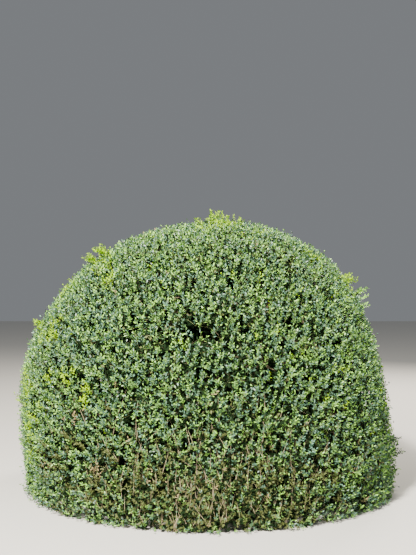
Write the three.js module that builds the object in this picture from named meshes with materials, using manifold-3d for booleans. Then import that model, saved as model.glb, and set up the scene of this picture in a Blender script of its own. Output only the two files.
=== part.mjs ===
// A large old box bush, clipped to a broad dome and rooted in the ground.
//
// Millimetres, +Z up. The origin is the middle of the flat cut under the trunk, at ground level.
// Azimuths are in degrees from +X towards +Y, so the side that faces the viewer looks along
// azimuth 270. A short trunk forks into seven boughs. Each bough carries one mass of foliage:
// a stem, twigs that branch by a seeded rule, a solid core and leaf blades that stand out of it.
// Each blade stands for a spray of real leaves, which are only about 20 mm long.

import * as THREE from 'three';
import { mergeVertices } from 'three/addons/utils/BufferGeometryUtils.js';
import Module from 'manifold-3d';

const wasm = await Module();
wasm.setup();

// Clearance between pieces that touch.
const GAP = 0.3;
const SEED = 2026;
const SEED_STEP = { shoot: 17, mass: 101 };

// The clipped outline, over the leaf tips: a superellipse turned about the trunk.
const DOME = {
  radius: 1355,
  height: 1950,
  widestHeight: 450,
  heightPower: 2.3,
  radiusPower: 2.2,
  footTuck: 0.02,
  footShare: 0.2,
};

// Where the clipped outline swells or falls in, with how far it spreads either way.
const SWELLS = [
  { azimuth: 180, height: 900, push: 50, angle: 42, rise: 430 },
  { azimuth: 0, height: 950, push: -58, angle: 45, rise: 400 },
  { azimuth: 0, height: 40, push: 22, angle: 26, rise: 170 },
  { azimuth: 215, height: 1750, push: -22, angle: 40, rise: 260 },
  { azimuth: 330, height: 1800, push: 18, angle: 35, rise: 220 },
  { azimuth: 262, height: 420, push: -26, angle: 24, rise: 330 },
  { azimuth: 90, height: 1000, push: 24, angle: 38, rise: 420 },
];

// Dark hollows in the face, where the clipped shoots have died back.
const HOLLOWS = [
  { azimuth: 265.6, height: 1248, radius: 92 },
  { azimuth: 272.5, height: 1330, radius: 62 },
  { azimuth: 243, height: 1262, radius: 58 },
];

// The core lies this far inside the clipped outline, and the leafless room inside it further.
const CORE = { inset: 80, innerInset: 330, foot: 60, roughness: 22, rings: 10, sides: 26 };
const INNER_ROOM = { rings: 6, sides: 16 };
const HOLLOW_BALL = { sides: 8, rings: 5, clearance: 1.5 };
const SEAM = 16;

// Shoots end just inside the outline. Each bears a pair of leaf blades, rooted on the twig a
// little below the core's surface: a spreading one and a steeper one.
const SHOOTS = { count: 208, jitter: 42, rootInset: 146, tipInset: 22 };
const LEAF = { length: 184, width: 122, thickness: 13, rootInset: 112, widestAt: 0.56 };
const LEAF_PAIR = [
  { turn: 0, tilt: 62, scale: 1 },
  { turn: 180, tilt: 46, scale: 0.86 },
];
const LEAF_SPREAD = { tilt: 9, turn: 24, roll: 24, scale: 0.08 };
const TURN_TRIES = 7;
const PROUD = 16;
const GROUND_CLEARANCE = 6;

// Fresh growth that stands proud of the clipping on top: where, and by how much.
const TUFTS = [
  { x: 35, y: -60, rise: 86 },
  { x: 137, y: -110, rise: 58 },
  { x: 212, y: -90, rise: 30 },
  { x: -45, y: -120, rise: 22 },
];
const TUFT_LEAVES = [
  { turn: 0, tilt: 6, drop: 0 },
  { turn: 40, tilt: 38, drop: 34 },
  { turn: 160, tilt: 42, drop: 52 },
  { turn: 280, tilt: 40, drop: 70 },
];
const TUFT_LEAF_SCALE = 0.6;
const TUFT_TWIG = { rootRadius: 13, tipRadius: 6 };

// Twigs: the end of one that bears leaves, and how girth adds up towards the stem.
const TWIG = {
  tipRadius: 9,
  girthPower: 0.32,
  forkReach: 0.46,
  forkSpread: 0.1,
  partSpread: 0.15,
  sides: 3,
};

const TRUNK = {
  forkHeight: 300,
  lean: 0.07,
  lobes: 5,
  lobeDepth: 0.16,
  lobeHeight: 150,
  sides: 20,
  profile: [[118, 0], [97, 28], [81, 80], [70, 150], [66, 215], [73, 262], [72, 300], [52, 338]],
  top: 352,
};

// Boughs of the flank run outwards and up, and the leader runs up to the crown.
const BOUGH = { rootRadius: 26, tipRadius: 17, sides: 7, steps: 5, stagger: 18 };
const BOUGH_ROUTE = [[0, 262, 0], [210, 380, 5], [430, 545, 0], [640, 640, 0]];
const LEADER = { rootRadius: 34, tipRadius: 21 };
const LEADER_ROUTE = [[12, 10, 520], [-14, 6, 820], [8, -12, 1130]];
const MASS_STEM = { sides: 6, length: 120, overlap: 6, taper: 0.95 };

// Each mass: the middle of its stretch of the outline.
const FLANK_SEED = { radius: 1300, height: 730 };
const MASSES = [
  { name: 'crown', azimuth: 0, radius: 0, height: 1950 },
  { name: 'front_left', azimuth: 235, radius: FLANK_SEED.radius, height: FLANK_SEED.height + 20 },
  { name: 'front_right', azimuth: 297, radius: FLANK_SEED.radius, height: FLANK_SEED.height - 30 },
  { name: 'right', azimuth: 354, radius: FLANK_SEED.radius, height: FLANK_SEED.height + 40 },
  { name: 'back_right', azimuth: 52, radius: FLANK_SEED.radius, height: FLANK_SEED.height - 20 },
  { name: 'back_left', azimuth: 117, radius: FLANK_SEED.radius, height: FLANK_SEED.height + 30 },
  { name: 'left', azimuth: 176, radius: FLANK_SEED.radius, height: FLANK_SEED.height - 40 },
];

const GOLDEN_ANGLE = Math.PI * (3 - Math.sqrt(5));
const UP = new THREE.Vector3(0, 0, 1);
const HALF_SPACE_SIZE = 8000;
const PROFILE_STEPS = 96;
const SMALLEST_TURN_RADIUS = 200;
const TIDY_TOLERANCE = 0.02;

// Seeded random numbers from 0 to 1.
function makeRandom(seed) {
  let state = seed >>> 0;
  return () => {
    state = (state + 0x6d2b79f5) >>> 0;
    let mixed = Math.imul(state ^ (state >>> 15), state | 1);
    mixed ^= mixed + Math.imul(mixed ^ (mixed >>> 7), mixed | 61);
    return ((mixed ^ (mixed >>> 14)) >>> 0) / 4294967296;
  };
}

function spread(random, amount) {
  return (random() * 2 - 1) * amount;
}

function polar(azimuth, radius, height) {
  const angle = THREE.MathUtils.degToRad(azimuth);
  return new THREE.Vector3(Math.cos(angle) * radius, Math.sin(angle) * radius, height);
}

// Radius and height of the plain outline, from the foot (0) to the top (1).
function profilePoint(share) {
  const { footShare } = DOME;
  if (share < footShare) {
    const drop = 1 - share / footShare;
    const radius = DOME.radius * (1 - DOME.footTuck * drop * drop);
    return new THREE.Vector2(radius, DOME.widestHeight * (1 - drop));
  }
  const angle = ((share - footShare) / (1 - footShare)) * (Math.PI / 2);
  const radius = DOME.radius * Math.max(Math.cos(angle), 0) ** (2 / DOME.radiusPower);
  const rise = Math.sin(angle) ** (2 / DOME.heightPower);
  return new THREE.Vector2(radius, DOME.widestHeight + (DOME.height - DOME.widestHeight) * rise);
}

// Bell-shaped falloff from 1 at no distance.
function bell(distance) {
  return Math.exp(-0.5 * distance * distance);
}

function angleBetween(a, b) {
  return Math.abs(THREE.MathUtils.euclideanModulo(a - b + 180, 360) - 180);
}

function swellAt(azimuth, height) {
  let push = 0;
  for (const swell of SWELLS) {
    const across = angleBetween(azimuth, swell.azimuth) / swell.angle;
    const along = (height - swell.height) / swell.rise;
    push += swell.push * bell(Math.hypot(across, along));
  }
  return push;
}

// A point on the outline, moved in by the inset, with the direction that faces out there.
function outlineAt(azimuth, share, inset = 0) {
  const step = 0.004;
  const below = profilePoint(Math.max(share - step, 0));
  const above = profilePoint(Math.min(share + step, 1));
  const slope = above.sub(below).normalize();
  const point = profilePoint(share);
  const outward = polar(azimuth, slope.y, -slope.x).normalize();
  const position = polar(azimuth, point.x, point.y);
  position.addScaledVector(outward, swellAt(azimuth, point.y) - inset);
  return { position, outward };
}

// The share of the outline below which a given part of its area lies.
function areaTable() {
  const table = [0];
  for (let i = 1; i <= PROFILE_STEPS; i += 1) {
    const low = profilePoint((i - 1) / PROFILE_STEPS);
    const high = profilePoint(i / PROFILE_STEPS);
    table.push(table[i - 1] + (low.x + high.x) * low.distanceTo(high));
  }
  return table;
}

function shareAtArea(table, part) {
  const wanted = part * table[PROFILE_STEPS];
  let i = 1;
  while (table[i] < wanted) i += 1;
  return (i - 1 + (wanted - table[i - 1]) / (table[i] - table[i - 1])) / PROFILE_STEPS;
}

// Solids: a closed geometry becomes a body that can be joined and cut.
function solidOf(geometry) {
  geometry.deleteAttribute('normal');
  geometry.deleteAttribute('uv');
  const merged = mergeVertices(geometry, 1e-3);
  const corners = merged.index.array;
  const kept = [];
  for (let i = 0; i < corners.length; i += 3) {
    const [a, b, c] = [corners[i], corners[i + 1], corners[i + 2]];
    if (a !== b && b !== c && c !== a) kept.push(a, b, c);
  }
  const vertProperties = new Float32Array(merged.attributes.position.array);
  const triVerts = new Uint32Array(kept);
  return new wasm.Manifold(new wasm.Mesh({ numProp: 3, vertProperties, triVerts }));
}

// The outer body alone: sealed hollows are filled and loose scraps are dropped.
function outerBody(solid) {
  const bodies = solid.decompose();
  return bodies.reduce((best, body) => (body.volume() > best.volume() ? body : best));
}

function geometryOf(solid) {
  const mesh = solid.getMesh();
  const geometry = new THREE.BufferGeometry();
  geometry.setAttribute('position', new THREE.BufferAttribute(mesh.vertProperties, 3));
  geometry.setIndex(new THREE.BufferAttribute(mesh.triVerts, 1));
  geometry.computeVertexNormals();
  return geometry;
}

// Everything on the far side of a plane, as one big block.
function halfSpace(normal, offset) {
  const block = new THREE.BoxGeometry(HALF_SPACE_SIZE, HALF_SPACE_SIZE, HALF_SPACE_SIZE);
  block.translate(0, 0, HALF_SPACE_SIZE / 2 + offset);
  block.applyQuaternion(new THREE.Quaternion().setFromUnitVectors(UP, normal));
  return solidOf(block);
}

// A round limb along a curve, tapering from its root to its tip.
function limbGeometry(curve, rootRadius, tipRadius, sides, steps) {
  const limb = new THREE.CylinderGeometry(tipRadius, rootRadius, 1, sides, steps);
  const frames = curve.computeFrenetFrames(steps);
  const position = limb.attributes.position;
  for (let i = 0; i < position.count; i += 1) {
    const step = Math.round((position.getY(i) + 0.5) * steps);
    const place = curve.getPointAt(step / steps);
    place.addScaledVector(frames.normals[step], position.getX(i));
    place.addScaledVector(frames.binormals[step], -position.getZ(i));
    position.setXYZ(i, place.x, place.y, place.z);
  }
  return limb;
}

// The clipped dome moved in by an inset, as a turned solid with a rough surface.
function domeSolid(inset, rings, sides, roughness, random) {
  const outline = [new THREE.Vector2(0, 0)];
  for (let i = 0; i < rings; i += 1) {
    outline.push(new THREE.Vector2(1, i / rings));
  }
  outline.push(new THREE.Vector2(0, 1));
  const lathe = new THREE.LatheGeometry(outline, sides);
  lathe.deleteAttribute('normal');
  lathe.deleteAttribute('uv');
  const dome = mergeVertices(lathe, 1e-4);
  const position = dome.attributes.position;
  for (let i = 0; i < position.count; i += 1) {
    const azimuth = THREE.MathUtils.radToDeg(Math.atan2(position.getX(i), position.getZ(i)));
    const onAxis = Math.hypot(position.getX(i), position.getZ(i)) < 0.5;
    const place = outlineAt(azimuth, position.getY(i), inset + spread(random, roughness)).position;
    if (onAxis) place.set(0, 0, position.getY(i) > 0.5 ? DOME.height - inset : 0);
    position.setXYZ(i, place.x, place.y, place.z);
  }
  return solidOf(dome);
}

// The space of a mass: the points that lie nearer to its middle than to any other mass's.
function massMiddle(mass) {
  return polar(mass.azimuth, mass.radius, mass.height);
}

function borderPlanes(mass) {
  const middle = massMiddle(mass);
  return MASSES.filter((other) => other !== mass).map((other) => {
    const normal = middle.clone().sub(massMiddle(other));
    const centre = middle.clone().add(massMiddle(other)).multiplyScalar(0.5);
    normal.normalize();
    return { normal, offset: normal.dot(centre) };
  });
}

function insideSpace(planes, point, margin) {
  return planes.every((plane) => plane.normal.dot(point) - plane.offset >= margin);
}

function inHollow(point) {
  return HOLLOWS.some((hollow) => {
    const centre = outlineAt(hollow.azimuth, shareAtHeight(hollow.height), hollow.radius).position;
    return centre.distanceTo(point) < hollow.radius * HOLLOW_BALL.clearance;
  });
}

function shareAtHeight(height) {
  let share = 0;
  while (profilePoint(share).y < height && share < 1) share += 1 / PROFILE_STEPS;
  return share;
}

// The short trunk: a turned solid with root lobes at the foot, leaning a little.
function trunkGeometry(growth) {
  const outline = [new THREE.Vector2(0, 0)];
  for (const [radius, height] of TRUNK.profile) {
    outline.push(new THREE.Vector2(radius + growth, height));
  }
  outline.push(new THREE.Vector2(0, TRUNK.top + growth));
  const trunk = new THREE.LatheGeometry(outline, TRUNK.sides);
  trunk.rotateX(Math.PI / 2);
  const position = trunk.attributes.position;
  for (let i = 0; i < position.count; i += 1) {
    const [x, y, z] = [position.getX(i), position.getY(i), position.getZ(i)];
    const fade = Math.max(0, 1 - z / TRUNK.lobeHeight);
    const lobe = 1 + TRUNK.lobeDepth * fade * Math.cos(TRUNK.lobes * Math.atan2(y, x));
    position.setXYZ(i, x * lobe + z * TRUNK.lean, y * lobe, z);
  }
  return trunk;
}

function trunkAxisAt(height) {
  return new THREE.Vector3(height * TRUNK.lean, 0, height);
}

function boughCurve(mass, index) {
  const start = trunkAxisAt(TRUNK.forkHeight);
  if (mass.radius === 0) {
    const route = LEADER_ROUTE.map((place) => new THREE.Vector3(...place));
    return new THREE.CatmullRomCurve3([start, ...route]);
  }
  const lift = index % 2 === 0 ? BOUGH.stagger : -BOUGH.stagger;
  return new THREE.CatmullRomCurve3(BOUGH_ROUTE.map(([radius, height, bend]) => {
    const place = polar(mass.azimuth + bend, radius, height + lift);
    return place.setX(place.x + start.x);
  }));
}

function boughSizes(mass) {
  return mass.radius === 0 ? LEADER : BOUGH;
}

function boughSolid(mass, index, trunkSpace) {
  const { rootRadius, tipRadius } = boughSizes(mass);
  const curve = boughCurve(mass, index);
  const limb = limbGeometry(curve, rootRadius, tipRadius, BOUGH.sides, BOUGH.steps);
  return outerBody(solidOf(limb).subtract(trunkSpace));
}

// Places where shoots stand, spread evenly over the outline in a spiral and then jittered.
function shootPlaces(random) {
  const table = areaTable();
  const places = [];
  for (let i = 0; i < SHOOTS.count; i += 1) {
    const share = shareAtArea(table, (i + 0.5) / SHOOTS.count);
    const girth = Math.max(profilePoint(share).x, SMALLEST_TURN_RADIUS);
    const wobble = THREE.MathUtils.radToDeg(SHOOTS.jitter / girth);
    const azimuth = THREE.MathUtils.radToDeg(i * GOLDEN_ANGLE) + spread(random, wobble);
    const { position, outward } = outlineAt(azimuth, share);
    const inwardBy = (inset) => position.clone().addScaledVector(outward, -inset);
    places.push({
      outer: position,
      outward,
      root: inwardBy(SHOOTS.rootInset),
      leafRoot: inwardBy(LEAF.rootInset),
      tip: inwardBy(SHOOTS.tipInset + random() * SHOOTS.jitter),
      random: makeRandom(SEED + SEED_STEP.shoot * i),
    });
  }
  return places.filter((place) => !inHollow(place.outer));
}

// The branching rule. A twig runs part of the way from its start towards the middle of the
// places it serves and forks there. The places are parted across the direction of the one
// that lies farthest out, and each half is served by a twig of its own.
function branch(start, places, twigs, random) {
  const radius = TWIG.tipRadius * places.length ** TWIG.girthPower;
  if (places.length === 1) {
    twigs.push({ from: start, to: places[0].root, fromRadius: radius, toRadius: TWIG.tipRadius });
    return;
  }
  const middle = new THREE.Vector3();
  for (const place of places) middle.addScaledVector(place.root, 1 / places.length);
  const reach = TWIG.forkReach + spread(random, TWIG.forkSpread);
  const fork = start.clone().lerp(middle, reach);
  const half = places.length / 2;
  const forkRadius = TWIG.tipRadius * half ** TWIG.girthPower;
  twigs.push({ from: start, to: fork, fromRadius: radius, toRadius: forkRadius });
  const farthest = places.reduce((best, place) => {
    return place.root.distanceTo(middle) > best.root.distanceTo(middle) ? place : best;
  });
  const across = farthest.root.clone().sub(middle);
  const ordered = [...places].sort((a, b) => across.dot(a.root) - across.dot(b.root));
  const cut = Math.round(half + spread(random, TWIG.partSpread) * half);
  const parting = THREE.MathUtils.clamp(cut, 1, places.length - 1);
  branch(fork, ordered.slice(0, parting), twigs, random);
  branch(fork, ordered.slice(parting), twigs, random);
}

function twigSolid(from, to, fromRadius, toRadius) {
  const line = new THREE.LineCurve3(from, to);
  return solidOf(limbGeometry(line, fromRadius, toRadius, TWIG.sides, 1));
}

// A leaf blade: eight faces, pointed at both ends, widest below the middle.
function leafGeometry(scale) {
  const leaf = new THREE.OctahedronGeometry(1);
  const position = leaf.attributes.position;
  for (let i = 0; i < position.count; i += 1) {
    const along = position.getX(i);
    const share = Math.abs(along) < 0.5 ? LEAF.widestAt : (along + 1) / 2;
    const x = share * LEAF.length * scale;
    const y = position.getY(i) * (LEAF.width / 2) * scale;
    position.setXYZ(i, x, y, position.getZ(i) * (LEAF.thickness / 2));
  }
  return leaf;
}

// Where a leaf goes: its root, the way it points and the side it turns to the light.
function leafPlacement(root, along, outward, roll) {
  const side = new THREE.Vector3().crossVectors(outward, along).normalize();
  side.applyAxisAngle(along, roll);
  const face = new THREE.Vector3().crossVectors(along, side);
  return new THREE.Matrix4().makeBasis(along, side, face).setPosition(root);
}

function leafCorners(placement, scale) {
  const widest = LEAF.widestAt * LEAF.length * scale;
  const half = (LEAF.width / 2) * scale;
  return [
    new THREE.Vector3(LEAF.length * scale, 0, 0),
    new THREE.Vector3(widest, half, 0),
    new THREE.Vector3(widest, -half, 0),
  ].map((corner) => corner.applyMatrix4(placement));
}

// The direction tilted away from the one that faces outward, turned about it.
function tiltedDirection(outward, turn, tilt) {
  const across = new THREE.Vector3().crossVectors(outward, UP);
  if (across.length() < 0.1) across.set(1, 0, 0);
  across.normalize().applyAxisAngle(outward, THREE.MathUtils.degToRad(turn));
  const angle = THREE.MathUtils.degToRad(tilt);
  return outward.clone().multiplyScalar(Math.cos(angle)).addScaledVector(across, Math.sin(angle));
}

// True where a leaf keeps to its space, to the outline and off the ground.
function leafFits(planes, corners, place) {
  return corners.every((corner) => {
    const height = corner.clone().sub(place.outer).dot(place.outward);
    const inSpace = insideSpace(planes, corner, SEAM / 4) && corner.z > GROUND_CLEARANCE;
    return inSpace && height < PROUD && !inHollow(corner);
  });
}

function shootLeaf(place, planes, turn, tilt, scale) {
  const { random, leafRoot, outward } = place;
  const along = tiltedDirection(outward, turn, tilt);
  const roll = THREE.MathUtils.degToRad(spread(random, LEAF_SPREAD.roll));
  const placement = leafPlacement(leafRoot, along, outward, roll);
  if (!leafFits(planes, leafCorners(placement, scale), place)) return null;
  return solidOf(leafGeometry(scale).applyMatrix4(placement));
}

// A shoot: the twig's pointed end beyond the core, with its leaves round it. A leaf that would
// leave the space is turned, and skipped where no turn fits.
function shootSolids(place, planes) {
  const { random } = place;
  const solids = [twigSolid(place.root, place.tip, TWIG.tipRadius, 0)];
  const firstTurn = random() * 360;
  for (const kind of LEAF_PAIR) {
    let leaf = null;
    for (let i = 0; i < TURN_TRIES && leaf === null; i += 1) {
      const turn = firstTurn + kind.turn + spread(random, LEAF_SPREAD.turn * (1 + i));
      const tilt = kind.tilt + spread(random, LEAF_SPREAD.tilt);
      leaf = shootLeaf(place, planes, turn, tilt, kind.scale + spread(random, LEAF_SPREAD.scale));
    }
    if (leaf !== null) solids.push(leaf);
  }
  return solids;
}

// Fresh growth on top: an upright twig with leaves that point steeply up.
function tuftSolids(tuft, planes) {
  const random = makeRandom(SEED + tuft.rise);
  const reach = LEAF.length * TUFT_LEAF_SCALE;
  const foot = new THREE.Vector3(tuft.x, tuft.y, DOME.height - SHOOTS.rootInset);
  const tip = new THREE.Vector3(tuft.x, tuft.y, DOME.height + tuft.rise - reach / 2);
  const solids = [twigSolid(foot, tip, TUFT_TWIG.rootRadius, TUFT_TWIG.tipRadius)];
  for (const { turn, tilt, drop } of TUFT_LEAVES) {
    const along = tiltedDirection(UP, turn + spread(random, LEAF_SPREAD.turn), tilt);
    const root = foot.clone().setZ(DOME.height + tuft.rise - reach - drop);
    const placement = leafPlacement(root, along, UP, 0);
    const corners = leafCorners(placement, TUFT_LEAF_SCALE);
    if (!corners.every((corner) => insideSpace(planes, corner, SEAM / 4))) continue;
    solids.push(solidOf(leafGeometry(TUFT_LEAF_SCALE).applyMatrix4(placement)));
  }
  return solids;
}

function hollowSolids() {
  return HOLLOWS.map((hollow) => {
    const share = shareAtHeight(hollow.height);
    const centre = outlineAt(hollow.azimuth, share, CORE.inset).position;
    const ball = new THREE.SphereGeometry(hollow.radius, HOLLOW_BALL.sides, HOLLOW_BALL.rings);
    return solidOf(ball.translate(centre.x, centre.y, centre.z));
  });
}

// A solid core for one mass, cut back from the borders of its space and from the hollows.
function coreSolid(shell, planes) {
  let core = shell;
  for (const plane of planes) {
    core = core.intersect(halfSpace(plane.normal, plane.offset + SEAM / 2));
  }
  return outerBody(core);
}

// A mass of foliage: its stem meets the bough's tip, and twigs, core and leaves are fused.
function foliageSolid(mass, index, places, shell) {
  const planes = borderPlanes(mass);
  const curve = boughCurve(mass, index);
  const heading = curve.getTangentAt(1);
  const start = curve.getPointAt(1).addScaledVector(heading, GAP);
  const fork = start.clone().addScaledVector(heading, MASS_STEM.length);
  const stemEnd = fork.clone().addScaledVector(heading, MASS_STEM.overlap);
  const { tipRadius } = boughSizes(mass);
  const line = new THREE.LineCurve3(start, stemEnd);
  const stem = limbGeometry(line, tipRadius, tipRadius * MASS_STEM.taper, MASS_STEM.sides, 1);
  const own = places.filter((place) => insideSpace(planes, place.root, SEAM));
  const twigs = [];
  branch(fork, own, twigs, makeRandom(SEED + SEED_STEP.mass * (index + 1)));
  const solids = [solidOf(stem), coreSolid(shell, planes)];
  for (const twig of twigs) {
    if (!insideSpace(planes, twig.to, twig.toRadius + 1)) continue;
    solids.push(twigSolid(twig.from, twig.to, twig.fromRadius, twig.toRadius));
  }
  for (const place of own) solids.push(...shootSolids(place, planes));
  if (mass.radius === 0) {
    for (const tuft of TUFTS) solids.push(...tuftSolids(tuft, planes));
  }
  return outerBody(wasm.Manifold.union(solids)).simplify(TIDY_TOLERANCE);
}

function barkMaterial() {
  return new THREE.MeshStandardMaterial({ color: 0x8a7c62, roughness: 0.9, metalness: 0 });
}

function foliageMaterial(mass) {
  const shades = { crown: 0x6d8a52, front_left: 0x5f7d4e, front_right: 0x587651 };
  const color = shades[mass.name] ?? 0x5c7a4d;
  return new THREE.MeshStandardMaterial({ color, roughness: 0.55, metalness: 0, flatShading: true });
}

function namedMesh(name, solid, material) {
  const mesh = new THREE.Mesh(geometryOf(solid), material);
  mesh.name = name;
  return mesh;
}

function buildBush() {
  const bush = new THREE.Group();
  const random = makeRandom(SEED);
  const places = shootPlaces(random);
  bush.add(namedMesh('trunk', solidOf(trunkGeometry(0)), barkMaterial()));
  const trunkSpace = solidOf(trunkGeometry(GAP));
  const outer = domeSolid(CORE.inset, CORE.rings, CORE.sides, CORE.roughness, random);
  const room = domeSolid(CORE.innerInset, INNER_ROOM.rings, INNER_ROOM.sides, 0, random);
  const clear = wasm.Manifold.union([room, ...hollowSolids()]);
  const shell = outer.subtract(clear).intersect(halfSpace(UP, CORE.foot));
  MASSES.forEach((mass, index) => {
    bush.add(namedMesh(`bough_${mass.name}`, boughSolid(mass, index, trunkSpace), barkMaterial()));
    const foliage = foliageSolid(mass, index, places, shell);
    bush.add(namedMesh(`foliage_${mass.name}`, foliage, foliageMaterial(mass)));
  });
  return bush;
}

export default buildBush();
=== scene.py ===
"""Final look of a large common box clipped to a broad dome and rooted in the ground.

The frame gives the trunk, seven boughs and seven masses of foliage. Here bark with its relief
takes the place of the trunk and the boughs. Each mass becomes twigs that branch by the same rule
as its solid, carried to finer shoots, with pairs of small leaves that end at the clipped outline.
Metres, +Z up, with the origin in the middle of the flat cut under the trunk. Azimuths run in
degrees from +X towards +Y, and the side that faces the viewer looks along azimuth 270.
"""

import logging
import math
from dataclasses import dataclass, field
from enum import Enum, IntEnum

import bpy
import numpy as np
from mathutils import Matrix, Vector


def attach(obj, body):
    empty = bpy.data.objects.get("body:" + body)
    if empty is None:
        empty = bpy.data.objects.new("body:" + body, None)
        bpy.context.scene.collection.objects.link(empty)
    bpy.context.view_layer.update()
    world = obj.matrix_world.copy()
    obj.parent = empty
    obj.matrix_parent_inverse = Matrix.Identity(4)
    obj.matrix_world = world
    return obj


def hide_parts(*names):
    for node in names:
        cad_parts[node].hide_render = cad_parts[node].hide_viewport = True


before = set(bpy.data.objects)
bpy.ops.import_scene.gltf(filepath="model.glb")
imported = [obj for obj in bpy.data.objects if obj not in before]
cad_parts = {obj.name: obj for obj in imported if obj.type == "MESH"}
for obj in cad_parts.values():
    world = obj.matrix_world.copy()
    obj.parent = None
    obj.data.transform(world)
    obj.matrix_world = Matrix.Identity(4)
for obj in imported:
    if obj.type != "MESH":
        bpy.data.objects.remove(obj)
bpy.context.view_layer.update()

LOG = logging.getLogger("box_dome")
BODY = "root"
SEED = 2026
# The turn in radians from one place of an even spiral to the next.
GOLDEN_ANGLE = math.pi * (3 - math.sqrt(5))
# The turn in radians from one corner of a three-sided twig to the next.
THIRD_TURN = 2.0944
# How far the closed end of a branch bulges, as a share of its radius.
BLUNTNESS = 0.7
# The size in metres of the bark's ridges, their levels of detail, and how often a limb is rounded.
RIDGE_SIZE, RIDGE_DETAIL, ROUNDING = 0.022, 3, 2
# Nearer to the trunk's line than this, a place is moved sideways as if it stood here.
INNERMOST = 0.2
# The root and tip radii of the leader and of the flank boughs.
LEADER_GIRTH, FLANK_GIRTH = (0.034, 0.021), (0.026, 0.017)
# The colour sockets of a Mix node: its two inputs and its result.
MIX_LOW, MIX_HIGH, MIX_RESULT = 6, 7, 2
UP = np.array([0.0, 0.0, 1.0])
EAST = np.array([1.0, 0.0, 0.0])
Place = tuple[float, float, float]
Range = tuple[float, float]
ArrayPair = tuple[np.ndarray, np.ndarray]
# Points, faces as rows of point indices, and the material slot of each face.
MeshArrays = tuple[np.ndarray, np.ndarray, np.ndarray]


class Draw(IntEnum):
    """What a seed is for: its number keeps what is drawn for one thing apart from the rest."""

    FINE_TWIGS = 17
    LEAVES = 31
    INNER_LEAVES = 37
    BARE_TWIGS = 41
    BRANCHES = 101


class Slot(Enum):
    """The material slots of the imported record."""

    BARK = "bark"
    FOLIAGE = "foliage"


class LeafKind(IntEnum):
    """The finishes that leaves are dealt out in, spray by spray."""

    BLUE_GREEN = 0
    MID_GREEN = 1
    DEEP_GREEN = 2
    PALE_GREEN = 3
    FRESH = 4
    OLIVE = 5
    # Near black: painted shade for leaves low on the sprays and deep inside the bush.
    PAINTED_SHADE = 6
    DEAD = 7
    BLUE_GREY = 8


GREENS = [LeafKind.BLUE_GREEN, LeafKind.MID_GREEN, LeafKind.DEEP_GREEN, LeafKind.PALE_GREEN]


# Colour and node helpers


def linear(hex_colour: str) -> tuple[float, float, float, float]:
    """Turn an sRGB hex colour into linear values.

    Args:
        hex_colour: six hex digits with a leading mark, such as "#5f7d4e".

    Returns:
        Linear red, green and blue with an alpha of 1.
    """
    channels = [int(hex_colour[i:i + 2], 16) / 255 for i in (1, 3, 5)]
    red, green, blue = [c / 12.92 if c <= 0.04045 else ((c + 0.055) / 1.055) ** 2.4 for c in channels]
    return (red, green, blue, 1.0)


def add_node(tree: bpy.types.NodeTree, kind: str, settings: dict | None = None,
             links: dict | None = None) -> bpy.types.Node:
    """Add one node, with its settings and the links into it.

    Args:
        tree: the node tree.
        kind: Blender's name for the kind of node.
        settings: attributes of the node, or default values of its inputs by name.
        links: for each input name, the output socket that feeds it.

    Returns:
        The new node.
    """
    node = tree.nodes.new(kind)
    for key, value in (settings or {}).items():
        if hasattr(node, key):
            setattr(node, key, value)
        else:
            node.inputs[key].default_value = value
    for key, socket in (links or {}).items():
        tree.links.new(socket, node.inputs[key])
    return node


def new_material(name: str) -> tuple[bpy.types.Material, bpy.types.NodeTree, bpy.types.Node]:
    """Make a material with only its surface shader.

    Args:
        name: the material's name.

    Returns:
        The material, its node tree and its Principled shader.
    """
    material = bpy.data.materials.new(name)
    material.use_nodes = True
    tree = material.node_tree
    tree.nodes.clear()
    shader = add_node(tree, "ShaderNodeBsdfPrincipled")
    add_node(tree, "ShaderNodeOutputMaterial", links={"Surface": shader.outputs["BSDF"]})
    return material, tree, shader


def plain_material(name: str, colour: str, settings: dict[str, float]) -> bpy.types.Material:
    """Make a material of one plain colour.

    Args:
        name: the material's name.
        colour: its colour as sRGB hex.
        settings: values of the shader's other sockets, by their names.

    Returns:
        The material.
    """
    material, _, shader = new_material(name)
    shader.inputs["Base Color"].default_value = linear(colour)
    for socket, value in settings.items():
        shader.inputs[socket].default_value = value
    material.diffuse_color = linear(colour)
    return material


# Finishes


@dataclass(frozen=True)
class LeafFinish:
    """A box leaf: a waxy, leathery blade, so its green carries small bright glints."""

    name: str
    colour: str
    roughness: float = 0.42
    coat: float = 0.03
    gloss: float = 0.44
    coat_roughness: float = 0.25

    def material(self) -> bpy.types.Material:
        """Build the leaf material, one plain colour under a thin wax coat."""
        return plain_material(self.name, self.colour, {
            "Roughness": self.roughness, "Specular IOR Level": self.gloss,
            "Coat Weight": self.coat, "Coat Roughness": self.coat_roughness})


@dataclass(frozen=True)
class TwigFinish:
    """A box twig: green and angled when young, dull straw-brown when it has turned woody."""

    name: str
    colour: str
    roughness: float = 0.75

    def material(self) -> bpy.types.Material:
        """Build the twig material, one plain dull colour."""
        return plain_material(self.name, self.colour, {"Roughness": self.roughness})


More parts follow.
